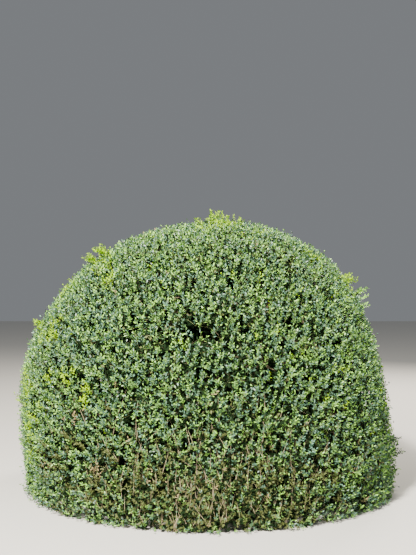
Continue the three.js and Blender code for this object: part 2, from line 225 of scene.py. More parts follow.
@dataclass(frozen=True)
class BarkFinish:
    """Old box bark: corky, pale grey-brown, cracked into small plates with darker cracks."""

    name: str = "corky_box_bark"
    plate: str = "#8f8367"
    shadow: str = "#5c503c"
    lichen: str = "#7d8069"
    plate_size: float = 0.009
    plate_squeeze: float = 0.34
    crack_width: float = 0.12
    grain_size: float = 0.0035
    patch_size: float = 0.045
    patch_edge: Range = (0.52, 0.66)
    relief: float = 0.0012
    relief_strength: float = 0.7
    roughness: float = 0.88

    def material(self) -> bpy.types.Material:
        """Build the bark from cracked cells for the plates and fine noise for the grain."""
        material, tree, shader = new_material(self.name)
        place = add_node(tree, "ShaderNodeTexCoord").outputs["Object"]
        stretch = add_node(tree, "ShaderNodeMapping", {"Scale": (1.0, 1.0, self.plate_squeeze)},
                           {"Vector": place})
        along = {"Vector": stretch.outputs["Vector"]}
        plates = add_node(tree, "ShaderNodeTexVoronoi",
                          {"feature": "DISTANCE_TO_EDGE", "Scale": 1 / self.plate_size}, along)
        cracks = add_node(tree, "ShaderNodeMapRange", {"From Max": self.crack_width},
                          {"Value": plates.outputs["Distance"]})
        grain = add_node(tree, "ShaderNodeTexNoise",
                         {"Scale": 1 / self.grain_size, "Detail": 6.0, "Roughness": 0.6}, along)
        patches = add_node(tree, "ShaderNodeTexNoise", {"Scale": 1 / self.patch_size, "Detail": 3.0},
                           {"Vector": place})
        low, high = self.patch_edge
        spots = add_node(tree, "ShaderNodeMapRange", {"From Min": low, "From Max": high},
                         {"Value": patches.outputs["Fac"]})
        wood = add_node(tree, "ShaderNodeMix", {"data_type": "RGBA"},
                        {"Factor": cracks.outputs["Result"]})
        wood.inputs[MIX_LOW].default_value = linear(self.shadow)
        wood.inputs[MIX_HIGH].default_value = linear(self.plate)
        grown = add_node(tree, "ShaderNodeMix", {"data_type": "RGBA"},
                         {"Factor": spots.outputs["Result"]})
        grown.inputs[MIX_HIGH].default_value = linear(self.lichen)
        tree.links.new(wood.outputs[MIX_RESULT], grown.inputs[MIX_LOW])
        tree.links.new(grown.outputs[MIX_RESULT], shader.inputs["Base Color"])
        height = add_node(tree, "ShaderNodeMath", {"operation": "MULTIPLY"})
        tree.links.new(cracks.outputs["Result"], height.inputs[0])
        tree.links.new(grain.outputs["Fac"], height.inputs[1])
        bump = add_node(tree, "ShaderNodeBump",
                        {"Strength": self.relief_strength, "Distance": self.relief},
                        {"Height": height.outputs["Value"]})
        tree.links.new(bump.outputs["Normal"], shader.inputs["Normal"])
        shader.inputs["Roughness"].default_value = self.roughness
        return material


LEAF_FINISHES = {
    LeafKind.BLUE_GREEN: LeafFinish("box_leaf_blue_green", "#587f68"),
    LeafKind.MID_GREEN: LeafFinish("box_leaf_mid_green", "#648e44"),
    LeafKind.DEEP_GREEN: LeafFinish("box_leaf_deep_green", "#476844"),
    LeafKind.PALE_GREEN: LeafFinish("box_leaf_pale_green", "#94c958"),
    LeafKind.FRESH: LeafFinish("box_leaf_fresh_growth", "#9ec800", roughness=0.6, coat=0.0, gloss=0.05),
    LeafKind.OLIVE: LeafFinish("box_leaf_old_olive", "#5c6434", roughness=0.6, coat=0.0, gloss=0.3),
    # Near black: painted shade, far darker than the leaves' own green.
    LeafKind.PAINTED_SHADE: LeafFinish("box_leaf_painted_inner_shade", "#14260f", roughness=0.8, coat=0.0, gloss=0.1),
    LeafKind.DEAD: LeafFinish("box_leaf_dead_straw", "#9c8a62", roughness=0.8, coat=0.0),
    LeafKind.BLUE_GREY: LeafFinish("box_leaf_blue_grey", "#6b9c83"),
}
YOUNG_TWIG = TwigFinish("box_twig_green", "#7c8752")
WOODY_TWIG = TwigFinish("box_twig_woody", "#6f624b", roughness=0.85)
BARE_TWIG = TwigFinish("box_twig_bare", "#a59678", roughness=0.8)


# The clipped outline and the rule that the solids follow


@dataclass(frozen=True)
class Swell:
    """A stretch where the clipped outline swells or falls in."""

    azimuth: float
    height: float
    push: float
    angle: float
    rise: float


@dataclass(frozen=True)
class Spot:
    """A round spot on the outline, by its azimuth and height, with its radius."""

    azimuth: float
    height: float
    radius: float
    share: float = 1.0


@dataclass
class Outline:
    """The clipped dome over the leaf tips: a superellipse turned about the trunk."""

    radius: float = 1.355
    height: float = 1.950
    widest_height: float = 0.450
    height_power: float = 2.3
    radius_power: float = 2.2
    foot_tuck: float = 0.02
    foot_share: float = 0.2
    steps: int = 96
    slope_step: float = 0.004
    samples: int = 3000
    swells: tuple[Swell, ...] = (
        Swell(180, 0.900, 0.050, 42, 0.430),
        Swell(0, 0.950, -0.058, 45, 0.400),
        Swell(0, 0.040, 0.022, 26, 0.170),
        Swell(215, 1.750, -0.022, 40, 0.260),
        Swell(330, 1.800, 0.018, 35, 0.220),
        Swell(262, 0.420, -0.026, 24, 0.330),
        Swell(90, 1.000, 0.024, 38, 0.420),
    )

    def profile(self, share: np.ndarray) -> ArrayPair:
        """Give the plain outline's radius and height.

        Args:
            share: places along the outline, from the foot (0) to the top (1).

        Returns:
            Radii and heights.
        """
        drop = np.clip(1 - share / self.foot_share, 0, 1)
        angle = np.clip((share - self.foot_share) / (1 - self.foot_share), 0, 1) * math.pi / 2
        low = share < self.foot_share
        radius = self.radius * np.clip(np.cos(angle), 0, 1) ** (2 / self.radius_power)
        rise = np.sin(angle) ** (2 / self.height_power)
        radius = np.where(low, self.radius * (1 - self.foot_tuck * drop * drop), radius)
        upper = self.widest_height + (self.height - self.widest_height) * rise
        return radius, np.where(low, self.widest_height * (1 - drop), upper)

    def swell_at(self, azimuth: np.ndarray, height: np.ndarray) -> np.ndarray:
        """Add up how far the swells push the outline out."""
        push = np.zeros_like(height)
        for swell in self.swells:
            across = np.abs((azimuth - swell.azimuth + 180) % 360 - 180) / swell.angle
            along = (height - swell.height) / swell.rise
            push += swell.push * np.exp(-0.5 * (across**2 + along**2))
        return push

    def surface(self, azimuth: np.ndarray, share: np.ndarray) -> ArrayPair:
        """Give points on the outline.

        Args:
            azimuth: azimuths in degrees.
            share: places along the outline, from the foot (0) to the top (1).

        Returns:
            The points, and the directions that face outwards there.
        """
        low_radius, low_height = self.profile(np.maximum(share - self.slope_step, 0))
        high_radius, high_height = self.profile(np.minimum(share + self.slope_step, 1))
        slope = np.stack([high_radius - low_radius, high_height - low_height], axis=-1)
        slope /= np.linalg.norm(slope, axis=-1, keepdims=True)
        radius, height = self.profile(share)
        angle = np.radians(azimuth)
        east, north = np.cos(angle), np.sin(angle)
        outward = np.stack([east * slope[:, 1], north * slope[:, 1], -slope[:, 0]], axis=-1)
        points = np.stack([east * radius, north * radius, height], axis=-1)
        return points + outward * self.swell_at(azimuth, height)[:, None], outward

    def spiral(self, count: int) -> ArrayPair:
        """Spread places evenly over the outline's area in a spiral.

        Args:
            count: how many places.

        Returns:
            Azimuths in degrees and shares along the outline.
        """
        marks = np.linspace(0, 1, self.steps + 1)
        radius, height = self.profile(marks)
        strip = (radius[1:] + radius[:-1]) * np.hypot(np.diff(radius), np.diff(height))
        area = np.concatenate([[0], np.cumsum(strip)])
        index = np.arange(count)
        share = np.interp((index + 0.5) / count * area[-1], area, marks)
        return np.degrees(index * GOLDEN_ANGLE), share

    def depth(self, points: np.ndarray) -> np.ndarray:
        """Tell how deep some points lie under the outline."""
        azimuth, share = self.spiral(self.samples)
        sampled, outward = self.surface(azimuth % 360, share)
        closest = nearest(points, sampled)
        return np.einsum("ij,ij->i", sampled[closest] - points, outward[closest])

    def spot_centre(self, spot: Spot) -> np.ndarray:
        """Find the point on the outline that a spot names."""
        marks = np.linspace(0, 1, self.steps + 1)
        _, height = self.profile(marks)
        share = np.interp(spot.height, height, marks)
        points, _ = self.surface(np.array([float(spot.azimuth)]), np.array([share]))
        return points[0]


@dataclass
class Mass:
    """One mass of foliage, with the middle of its stretch of the outline."""

    name: str
    azimuth: float
    radius: float
    height: float

    def middle(self) -> np.ndarray:
        """Give the middle as a point."""
        angle = math.radians(self.azimuth)
        return np.array([math.cos(angle) * self.radius, math.sin(angle) * self.radius, self.height])


FLANK_RADIUS = 1.300
MASSES = (
    Mass("crown", 0, 0, 1.950),
    Mass("front_left", 235, FLANK_RADIUS, 0.750),
    Mass("front_right", 297, FLANK_RADIUS, 0.700),
    Mass("right", 354, FLANK_RADIUS, 0.770),
    Mass("back_right", 52, FLANK_RADIUS, 0.710),
    Mass("back_left", 117, FLANK_RADIUS, 0.760),
    Mass("left", 176, FLANK_RADIUS, 0.690),
)


@dataclass
class Space:
    """The space of a mass: the points nearer to its middle than to any other mass's."""

    mass: Mass
    normals: np.ndarray = field(init=False)
    offsets: np.ndarray = field(init=False)

    def __post_init__(self) -> None:
        """Work out the planes halfway to the other masses."""
        middle = self.mass.middle()
        others = np.array([other.middle() for other in MASSES if other is not self.mass])
        self.normals = middle - others
        self.normals /= np.linalg.norm(self.normals, axis=1, keepdims=True)
        self.offsets = np.einsum("ij,ij->i", self.normals, (middle + others) / 2)

    def inside(self, points: np.ndarray, margin: float) -> np.ndarray:
        """Tell which points lie in the space, clear of its borders by a margin."""
        return ((points @ self.normals.T - self.offsets) >= margin).all(axis=-1)


@dataclass
class Limb:
    """A bough's route, as the solids have it, with its girth."""

    mass: Mass
    index: int
    root_radius: float
    tip_radius: float
    fork: Place = (0.021, 0.0, 0.300)
    stagger: float = 0.018
    flank_route: tuple[Place, ...] = (
        (0.0, 0.262, 0.0), (0.210, 0.380, 5.0), (0.430, 0.545, 0.0), (0.640, 0.640, 0.0))
    leader_route: tuple[Place, ...] = (
        (0.012, 0.010, 0.520), (-0.014, 0.006, 0.820), (0.008, -0.012, 1.130))

    def controls(self) -> list[Vector]:
        """Give the points that the bough's curve passes through."""
        if self.mass.radius == 0:
            return [Vector(self.fork)] + [Vector(place) for place in self.leader_route]
        lift = self.stagger if self.index % 2 == 0 else -self.stagger
        places = []
        for radius, height, bend in self.flank_route:
            angle = math.radians(self.mass.azimuth + bend)
            x = math.cos(angle) * radius + self.fork[0]
            places.append(Vector((x, math.sin(angle) * radius, height + lift)))
        return places

    def route(self, steps: int) -> list[Vector]:
        """Walk the curve through the control points, which is a centripetal spline.

        Args:
            steps: how many stretches to walk it in.

        Returns:
            Points along the curve, from the root to the tip.
        """
        controls = self.controls()
        before = controls[0] * 2 - controls[1]
        after = controls[-1] * 2 - controls[-2]
        padded = [before, *controls, after]
        points = []
        spans = len(controls) - 1
        for i in range(steps + 1):
            place = min(i / steps * spans, spans - 1e-6)
            span = int(place)
            points.append(centripetal(padded[span:span + 4], place - span))
        return points


def centripetal(controls: list[Vector], share: float) -> Vector:
    """Give a point on a centripetal spline between the two middle controls.

    Args:
        controls: four control points.
        share: from 0 at the second control to 1 at the third.

    Returns:
        The point.
    """
    knots = [0.0]
    for a, b in zip(controls, controls[1:]):
        knots.append(knots[-1] + (b - a).length ** 0.5)
    at = knots[1] + (knots[2] - knots[1]) * share
    level = list(controls)
    for order in range(1, 4):
        blended = []
        for i in range(len(level) - 1):
            if order == 3:
                low, high = knots[1], knots[2]
            else:
                low, high = knots[i], knots[i + order]
            weight = (at - low) / (high - low)
            blended.append(level[i] * (1 - weight) + level[i + 1] * weight)
        level = blended
    return level[0]


# The seeded branching rule


class SeededRandom:
    """A small seeded generator, the same one that the solids grow by."""

    MASK = 0xFFFFFFFF

    def __init__(self, seed: int) -> None:
        """Start from a seed."""
        self.state = seed & self.MASK

    def __call__(self) -> float:
        """Give the next number from 0 to 1."""
        mask = self.MASK
        self.state = (self.state + 0x6D2B79F5) & mask
        mixed = ((self.state ^ (self.state >> 15)) * (self.state | 1)) & mask
        mixed ^= (mixed + (((mixed ^ (mixed >> 7)) * (mixed | 61)) & mask)) & mask
        return (mixed ^ (mixed >> 14)) / 2**32

    def spread(self, amount: float) -> float:
        """Give a number from minus the amount to the amount."""
        return (self() * 2 - 1) * amount


@dataclass(frozen=True)
class BranchRule:
    """How a twig forks on its way to the places that it serves."""

    tip_radius: float
    girth_power: float
    fork_reach: float = 0.46
    fork_spread: float = 0.10
    part_spread: float = 0.15


@dataclass
class Twigs:
    """Straight stretches of twig, each with its two ends, two radii and the place it serves."""

    starts: list[np.ndarray] = field(default_factory=list)
    ends: list[np.ndarray] = field(default_factory=list)
    start_radii: list[float] = field(default_factory=list)
    end_radii: list[float] = field(default_factory=list)
    places: list[int] = field(default_factory=list)

    def add(self, start: np.ndarray, end: np.ndarray, start_radius: float, end_radius: float,
            place: int = -1) -> None:
        """Add one stretch."""
        self.starts.append(start)
        self.ends.append(end)
        self.start_radii.append(start_radius)
        self.end_radii.append(end_radius)
        self.places.append(place)

    def arrays(self) -> tuple[np.ndarray, np.ndarray, np.ndarray, np.ndarray]:
        """Give the starts, ends and radii as arrays."""
        columns = (self.starts, self.ends, self.start_radii, self.end_radii)
        return tuple(np.array(column) for column in columns)


def branch(start: np.ndarray, roots: np.ndarray, places: np.ndarray, rule: BranchRule,
           random: SeededRandom, twigs: Twigs) -> None:
    """Fork a twig towards the places that it serves, by the rule of the solids.

    A twig runs part of the way towards the middle of its places and forks there. The places are
    parted across the direction of the one that lies farthest out.

    Args:
        start: where the twig starts.
        roots: the roots of all places.
        places: indices of the places that this twig serves.
        rule: the branching rule.
        random: the seeded generator.
        twigs: takes the stretches.
    """
    count = len(places)
    radius = rule.tip_radius * count**rule.girth_power
    if count == 1:
        twigs.add(start, roots[places[0]], radius, rule.tip_radius, int(places[0]))
        return
    own = roots[places]
    middle = own.mean(axis=0)
    fork = start + (middle - start) * (rule.fork_reach + random.spread(rule.fork_spread))
    half = count / 2
    twigs.add(start, fork, radius, rule.tip_radius * half**rule.girth_power)
    away = own - middle
    across = away[np.argmax(np.einsum("ij,ij->i", away, away))]
    ordered = places[np.argsort(own @ across, kind="stable")]
    parting = int(np.clip(math.floor(half + random.spread(rule.part_spread) * half + 0.5), 1, count - 1))
    branch(fork, roots, ordered[:parting], rule, random, twigs)
    branch(fork, roots, ordered[parting:], rule, random, twigs)


def unit(vectors: np.ndarray) -> np.ndarray:
    """Scale vectors to length 1."""
    return vectors / np.maximum(np.linalg.norm(vectors, axis=-1, keepdims=True), 1e-9)


def ripple(points: np.ndarray, wavelength: float, seed: int, waves: int = 14) -> np.ndarray:
    """Give a smooth seeded random value at points, with a spread of about 1.

    Args:
        points: where to read it.
        wavelength: the length over which it changes, in metres.
        seed: seed of the waves.
        waves: how many plane waves are added up.

    Returns:
        One value for each point.
    """
    rng = np.random.default_rng(seed)
    directions = unit(rng.normal(size=(waves, 3)))
    lengths = wavelength * rng.uniform(0.7, 1.5, waves)
    phases = rng.uniform(0, 2 * math.pi, waves)
    angles = points @ (directions / lengths[:, None]).T * 2 * math.pi + phases
    return np.sin(angles).sum(axis=-1) * math.sqrt(2 / waves)


def nearest(points: np.ndarray, centres: np.ndarray, batch: int = 2000) -> np.ndarray:
    """Find the nearest centre to each point.

    Args:
        points: the points.
        centres: the centres.
        batch: how many points are handled at a time.

    Returns:
        The index of the nearest centre to each point.
    """
    found = np.empty(len(points), dtype=int)
    for low in range(0, len(points), batch):
        apart = np.linalg.norm(points[low:low + batch, None, :] - centres[None, :, :], axis=-1)
        found[low:low + batch] = apart.argmin(axis=1)
    return found


def nearest_mass(points: np.ndarray) -> np.ndarray:
    """Give the index of the mass whose middle is nearest to each point."""
    return nearest(points, np.array([mass.middle() for mass in MASSES]))


def crosswise(along: np.ndarray, steep: float = 0.9) -> np.ndarray:
    """Give a direction across each of some directions.

    Args:
        along: the directions.
        steep: how upright a direction may be before it is crossed with EAST in place of UP.

    Returns:
        One direction across each.
    """
    return unit(np.cross(np.where(np.abs(along[:, 2:3]) > steep, EAST[None, :], UP[None, :]), along))


# Mesh helpers


def deselect_all() -> None:
    """Leave nothing selected."""
    bpy.ops.object.select_all(action="DESELECT")


def select_only(piece: bpy.types.Object) -> None:
    """Select one piece alone and make it the active one."""
    deselect_all()
    bpy.context.view_layer.objects.active = piece
    piece.select_set(True)


def array_mesh(name: str, points: np.ndarray, corners: np.ndarray, slots: np.ndarray,
               materials: list[bpy.types.Material]) -> bpy.types.Object:
    """Make an object from arrays of points and of faces with equal numbers of corners.

    Args:
        name: the object's name.
        points: points, one row each.
        corners: point indices, one row for each face.
        slots: material slot of each face.
        materials: the materials in slot order.

    Returns:
        The new object.
    """
    mesh = bpy.data.meshes.new(name)
    mesh.vertices.add(len(points))
    mesh.vertices.foreach_set("co", np.ascontiguousarray(points, dtype=np.float32).ravel())
    mesh.loops.add(corners.size)
    mesh.loops.foreach_set("vertex_index", np.ascontiguousarray(corners, dtype=np.int32).ravel())
    mesh.polygons.add(len(corners))
    mesh.polygons.foreach_set("loop_start", np.arange(0, corners.size, corners.shape[1], dtype=np.int32))
    for material in materials:
        mesh.materials.append(material)
    mesh.polygons.foreach_set("material_index", np.ascontiguousarray(slots, dtype=np.int32))
    mesh.update(calc_edges=True)
    mesh.validate()
    piece = bpy.data.objects.new(name, mesh)
    bpy.context.scene.collection.objects.link(piece)
    return piece


def tube_arrays(starts: np.ndarray, ends: np.ndarray, start_radii: np.ndarray, end_radii: np.ndarray,
                sides: int) -> ArrayPair:
    """Make tapered stretches of tube.

    Args:
        starts: where each stretch starts.
        ends: where each stretch ends.
        start_radii: radius at each start.
        end_radii: radius at each end.
        sides: how many sides the tubes have.

    Returns:
        Points, and faces of four corners each.
    """
    along = unit(ends - starts)
    first = crosswise(along)
    second = np.cross(along, first)
    angles = (np.arange(sides) * 2 * math.pi / sides)[None, :, None]
    ring = first[:, None, :] * np.cos(angles) + second[:, None, :] * np.sin(angles)
    low = starts[:, None, :] + ring * start_radii[:, None, None]
    high = ends[:, None, :] + ring * end_radii[:, None, None]
    points = np.concatenate([low, high], axis=1).reshape(-1, 3)
    side = np.arange(sides)
    after = (side + 1) % sides
    face = np.stack([side, after, after + sides, side + sides], axis=1)
    corners = face[None, :, :] + (np.arange(len(starts)) * sides * 2)[:, None, None]
    return points, corners.reshape(-1, 4)


def branch_arrays(starts: np.ndarray, ends: np.ndarray, start_radii: np.ndarray, end_radii: np.ndarray,
                  sides: int) -> ArrayPair:
    """Make tapered stretches of branch with blunt closed ends, which fill the forks between them.

    Args:
        starts: where each stretch starts.
        ends: where each stretch ends.
        start_radii: radius at each start.
        end_radii: radius at each end.
        sides: how many sides the stretches have.

    Returns:
        Points, and faces of three corners each.
    """
    points, quads = tube_arrays(starts, ends, start_radii, end_radii, sides)
    along = unit(ends - starts)
    tips = np.concatenate([starts - along * start_radii[:, None] * BLUNTNESS,
                           ends + along * end_radii[:, None] * BLUNTNESS])
    count = len(starts)
    first = np.repeat(np.arange(count) + len(points), sides)
    last = first + count
    closed = [quads[:, [0, 1, 2]], quads[:, [0, 2, 3]],
              np.stack([quads[:, 0], first, quads[:, 1]], axis=1),
              np.stack([quads[:, 3], quads[:, 2], last], axis=1)]
    return np.concatenate([points, tips]), np.concatenate(closed)


def spike_arrays(starts: np.ndarray, ends: np.ndarray, radius: float) -> ArrayPair:
    """Make three-sided spikes that taper to a point.

    Args:
        starts: where each spike starts.
        ends: where each spike ends.
        radius: the radius at each start.

    Returns:
        Points, and faces of three corners each.
    """
    along = unit(ends - starts)
    first = crosswise(along) * radius
    second = np.cross(along, first)
    turns = (0.0, THIRD_TURN, 2 * THIRD_TURN)
    ring = [starts + first * math.cos(turn) + second * math.sin(turn) for turn in turns]
    points = np.stack([*ring, ends], axis=1).reshape(-1, 3)
    corners = np.array([[0, 1, 3], [1, 2, 3], [2, 0, 3]])[None, :, :]
    return points, (corners + (np.arange(len(starts)) * 4)[:, None, None]).reshape(-1, 3)


def joined_arrays(parts: list[MeshArrays]) -> MeshArrays:
    """Join the arrays of several meshes.

    Args:
        parts: for each mesh its points, its faces and the slot of each face.

    Returns:
        All points, faces and slots.
    """
    offsets = np.cumsum([0] + [len(points) for points, _, _ in parts])
    return (np.concatenate([points for points, _, _ in parts]),
            np.concatenate([corners + offset for (_, corners, _), offset in zip(parts, offsets)]),
            np.concatenate([slots for _, _, slots in parts]))


def settle(piece: bpy.types.Object) -> None:
    """Put a piece's place into its mesh, so its object sits at the origin, unturned."""
    select_only(piece)
    bpy.ops.object.transform_apply(location=True, rotation=True, scale=True)


def bark_relief(piece: bpy.types.Object, depth: float) -> None:
    """Round a limb and give it the ridges and hollows of old bark.

    Args:
        piece: the limb.
        depth: how deep the ridges are, in metres.
    """
    rounding = piece.modifiers.new("rounding", "SUBSURF")
    rounding.levels = rounding.render_levels = ROUNDING
    ridges = bpy.data.textures.new(f"{piece.name}_ridges", "CLOUDS")
    ridges.noise_scale = RIDGE_SIZE
    ridges.noise_depth = RIDGE_DETAIL
    relief = piece.modifiers.new("relief", "DISPLACE")
    relief.texture = ridges
    relief.texture_coords = "LOCAL"
    relief.strength = depth
    relief.mid_level = 0.5
    select_only(piece)
    for modifier in list(piece.modifiers):
        bpy.ops.object.modifier_apply(modifier=modifier.name)
    bpy.ops.object.shade_smooth()


# The trunk and the boughs


@dataclass
class Trunk:
    """The short trunk, with root lobes at its foot and a slight lean, from the flat cut up."""

    profile: tuple[tuple[float, float], ...] = (
        (0.112, 0.0), (0.095, 0.028), (0.080, 0.080), (0.070, 0.150), (0.066, 0.215),
        (0.073, 0.262), (0.072, 0.300), (0.052, 0.338))
    lean: float = 0.07
    sides: int = 40
    lobes: int = 5
    lobe_push: float = 0.020
    lobe_reach: float = 0.095
    lobe_hub: float = 0.05
    lobe_facing: float = 0.99
    foot_rim: float = 0.010
    pressed: float = 0.008
    ridge_depth: float = 0.006

    def build(self) -> bpy.types.Object:
        """Extrude the trunk up from its foot, pull out the lobes and give it relief.

        Returns:
            The trunk.
        """
        deselect_all()
        bpy.ops.mesh.primitive_circle_add(vertices=self.sides, radius=self.profile[0][0], fill_type="NGON")
        piece = bpy.context.object
        piece.name = "trunk_bark"
        bpy.ops.object.mode_set(mode="EDIT")
        for (radius, height), (next_radius, next_height) in zip(self.profile, self.profile[1:]):
            rise = next_height - height
            bpy.ops.mesh.extrude_region_move(TRANSFORM_OT_translate={"value": (rise * self.lean, 0, rise)})
            share = next_radius / radius
            middle = (next_height * self.lean, 0, next_height)
            bpy.ops.transform.resize(value=(share, share, 1), center_override=middle)
        bpy.ops.mesh.select_all(action="SELECT")
        bpy.ops.mesh.normals_make_consistent(inside=False)
        for i in range(self.lobes):
            self._pull_lobe(piece, i * 2 * math.pi / self.lobes)
        bpy.ops.object.mode_set(mode="OBJECT")
        bark_relief(piece, self.ridge_depth)
        self._flatten_foot(piece)
        settle(piece)
        return piece

    def _pull_lobe(self, piece: bpy.types.Object, angle: float) -> None:
        """Pull one root lobe out at the foot, with a soft falloff around it."""
        bpy.ops.mesh.select_all(action="DESELECT")
        bpy.ops.mesh.select_mode(type="VERT")
        facing = Vector((math.cos(angle), math.sin(angle), 0))
        mesh = piece.data
        bpy.ops.object.mode_set(mode="OBJECT")
        for vertex in mesh.vertices:
            flat = Vector((vertex.co.x, vertex.co.y, 0))
            vertex.select = (vertex.co.z < self.foot_rim and flat.length > self.lobe_hub
                             and flat.normalized().dot(facing) > self.lobe_facing)
        bpy.ops.object.mode_set(mode="EDIT")
        bpy.ops.transform.translate(value=facing * self.lobe_push, use_proportional_edit=True,
                                    proportional_edit_falloff="SMOOTH", proportional_size=self.lobe_reach)

    def _flatten_foot(self, piece: bpy.types.Object) -> None:
        """Press the foot flat onto the cut at ground level."""
        for vertex in piece.data.vertices:
            vertex.select = vertex.co.z < self.pressed
        bpy.ops.object.mode_set(mode="EDIT")
        bpy.ops.transform.resize(value=(1, 1, 0), center_override=(0, 0, 0))
        bpy.ops.object.mode_set(mode="OBJECT")

    def dress(self, piece: bpy.types.Object, bark: bpy.types.Material) -> None:
        """Give the trunk its bark and set it in place of its solid."""
        piece.data.materials.clear()
        piece.data.materials.append(bark)
        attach(piece, BODY)
        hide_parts("trunk")


@dataclass
class Bough:
    """One main bough, from inside the trunk's fork to the stem of its mass."""

    limb: Limb
    sides: int = 12
    steps: int = 9
    ridge_depth: float = 0.004

    def build(self) -> bpy.types.Object:
        """Extrude the bough along its route and give it relief.

        Returns:
            The bough.
        """
        route = self.limb.route(self.steps)
        heading = (route[-1] - route[0]).normalized()
        turn = heading.to_track_quat("Z", "Y").to_euler()
        radii = [self._girth(i / self.steps) for i in range(self.steps + 1)]
        deselect_all()
        bpy.ops.mesh.primitive_circle_add(vertices=self.sides, radius=radii[0], fill_type="NGON",
                                          location=route[0], rotation=turn)
        piece = bpy.context.object
        piece.name = f"bough_{self.limb.mass.name}_bark"
        bpy.ops.object.mode_set(mode="EDIT")
        for i in range(self.steps):
            bpy.ops.mesh.extrude_region_move(TRANSFORM_OT_translate={"value": route[i + 1] - route[i]})
            share = radii[i + 1] / radii[i]
            bpy.ops.transform.resize(value=(share, share, share), center_override=route[i + 1])
        bpy.ops.mesh.select_all(action="SELECT")
        bpy.ops.mesh.normals_make_consistent(inside=False)
        bpy.ops.object.mode_set(mode="OBJECT")
        settle(piece)
        bark_relief(piece, self.ridge_depth)
        return piece

    def _girth(self, share: float) -> float:
        """Give the radius at a share of the way from root to tip."""
        return self.limb.root_radius + (self.limb.tip_radius - self.limb.root_radius) * share

    def dress(self, piece: bpy.types.Object, bark: bpy.types.Material) -> None:
        """Give the bough its bark and set it in place of its solid."""
        piece.data.materials.clear()
        piece.data.materials.append(bark)
        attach(piece, BODY)
        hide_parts(f"bough_{self.limb.mass.name}")


# Foliage


@dataclass
class Shoots:
    """Leafy shoots: their roots, tips, pairs of leaves, finishes, leaf sizes and sprigs."""

    roots: np.ndarray
    tips: np.ndarray
    pairs: np.ndarray
    kinds: np.ndarray
    leaf_scale: np.ndarray
    sprigs: np.ndarray

    def part(self, chosen: np.ndarray) -> "Shoots":
        """Give only the chosen shoots."""
        return Shoots(*(getattr(self, key)[chosen] for key in self.__dataclass_fields__))

    def joined(self, other: "Shoots") -> "Shoots":
        """Give these shoots and others."""
        return Shoots(*(np.concatenate([getattr(self, key), getattr(other, key)])
                        for key in self.__dataclass_fields__))


@dataclass(frozen=True)
class Tuft:
    """Fresh growth that stands up over the top of the outline."""

    x: float
    y: float
    rise: float
    shoots: int
    spread: float
    kind: LeafKind = LeafKind.FRESH
    depth: float = 0.055
    lean: float = 0.010
    inset: float = 0.012
    rise_shares: Range = (0.45, 1.0)
    pair_gap: float = 0.011
    leaf_sizes: Range = (0.95, 1.20)

    def shoot(self, outline: Outline, rng: np.random.Generator) -> ArrayPair:
        """Place one of its shoots.

        Args:
            outline: the clipped outline.
            rng: the seeded generator.

        Returns:
            The root and the tip of the shoot.
        """
        root = np.array([self.x, self.y]) + rng.normal(size=2) * self.spread
        tip = root + rng.normal(size=2) * self.lean
        rise = self.rise * rng.uniform(*self.rise_shares) - self.inset
        return np.append(root, outline.height - self.depth), np.append(tip, outline.height + rise)


@dataclass(frozen=True)
class LooseSpray:
    """A spray that the shears missed, which stands out of the flank by its reach."""

    azimuth: float
    height: float
    reach: float
    shoots: int
    kind: LeafKind
    depth: float = 0.060
    upward: float = 0.55
    wander: float = 0.22
    spread: float = 0.014
    reach_shares: Range = (0.5, 1.05)
    pair_gap: float = 0.0105
    leaf_sizes: Range = (0.95, 1.18)

    def shoot(self, outline: Outline, rng: np.random.Generator) -> ArrayPair:
        """Place one of its shoots.

        Args:
            outline: the clipped outline.
            rng: the seeded generator.

        Returns:
            The root and the tip of the shoot.
        """
        angle = math.radians(self.azimuth)
        out = np.array([math.cos(angle), math.sin(angle), 0.0])
        foot = outline.spot_centre(Spot(self.azimuth, self.height, 0)) - out * self.depth
        heading = unit(out + UP * self.upward + rng.normal(size=3) * self.wander)
        root = foot + rng.normal(size=3) * self.spread
        return root, root + heading * (self.depth + self.reach * rng.uniform(*self.reach_shares))


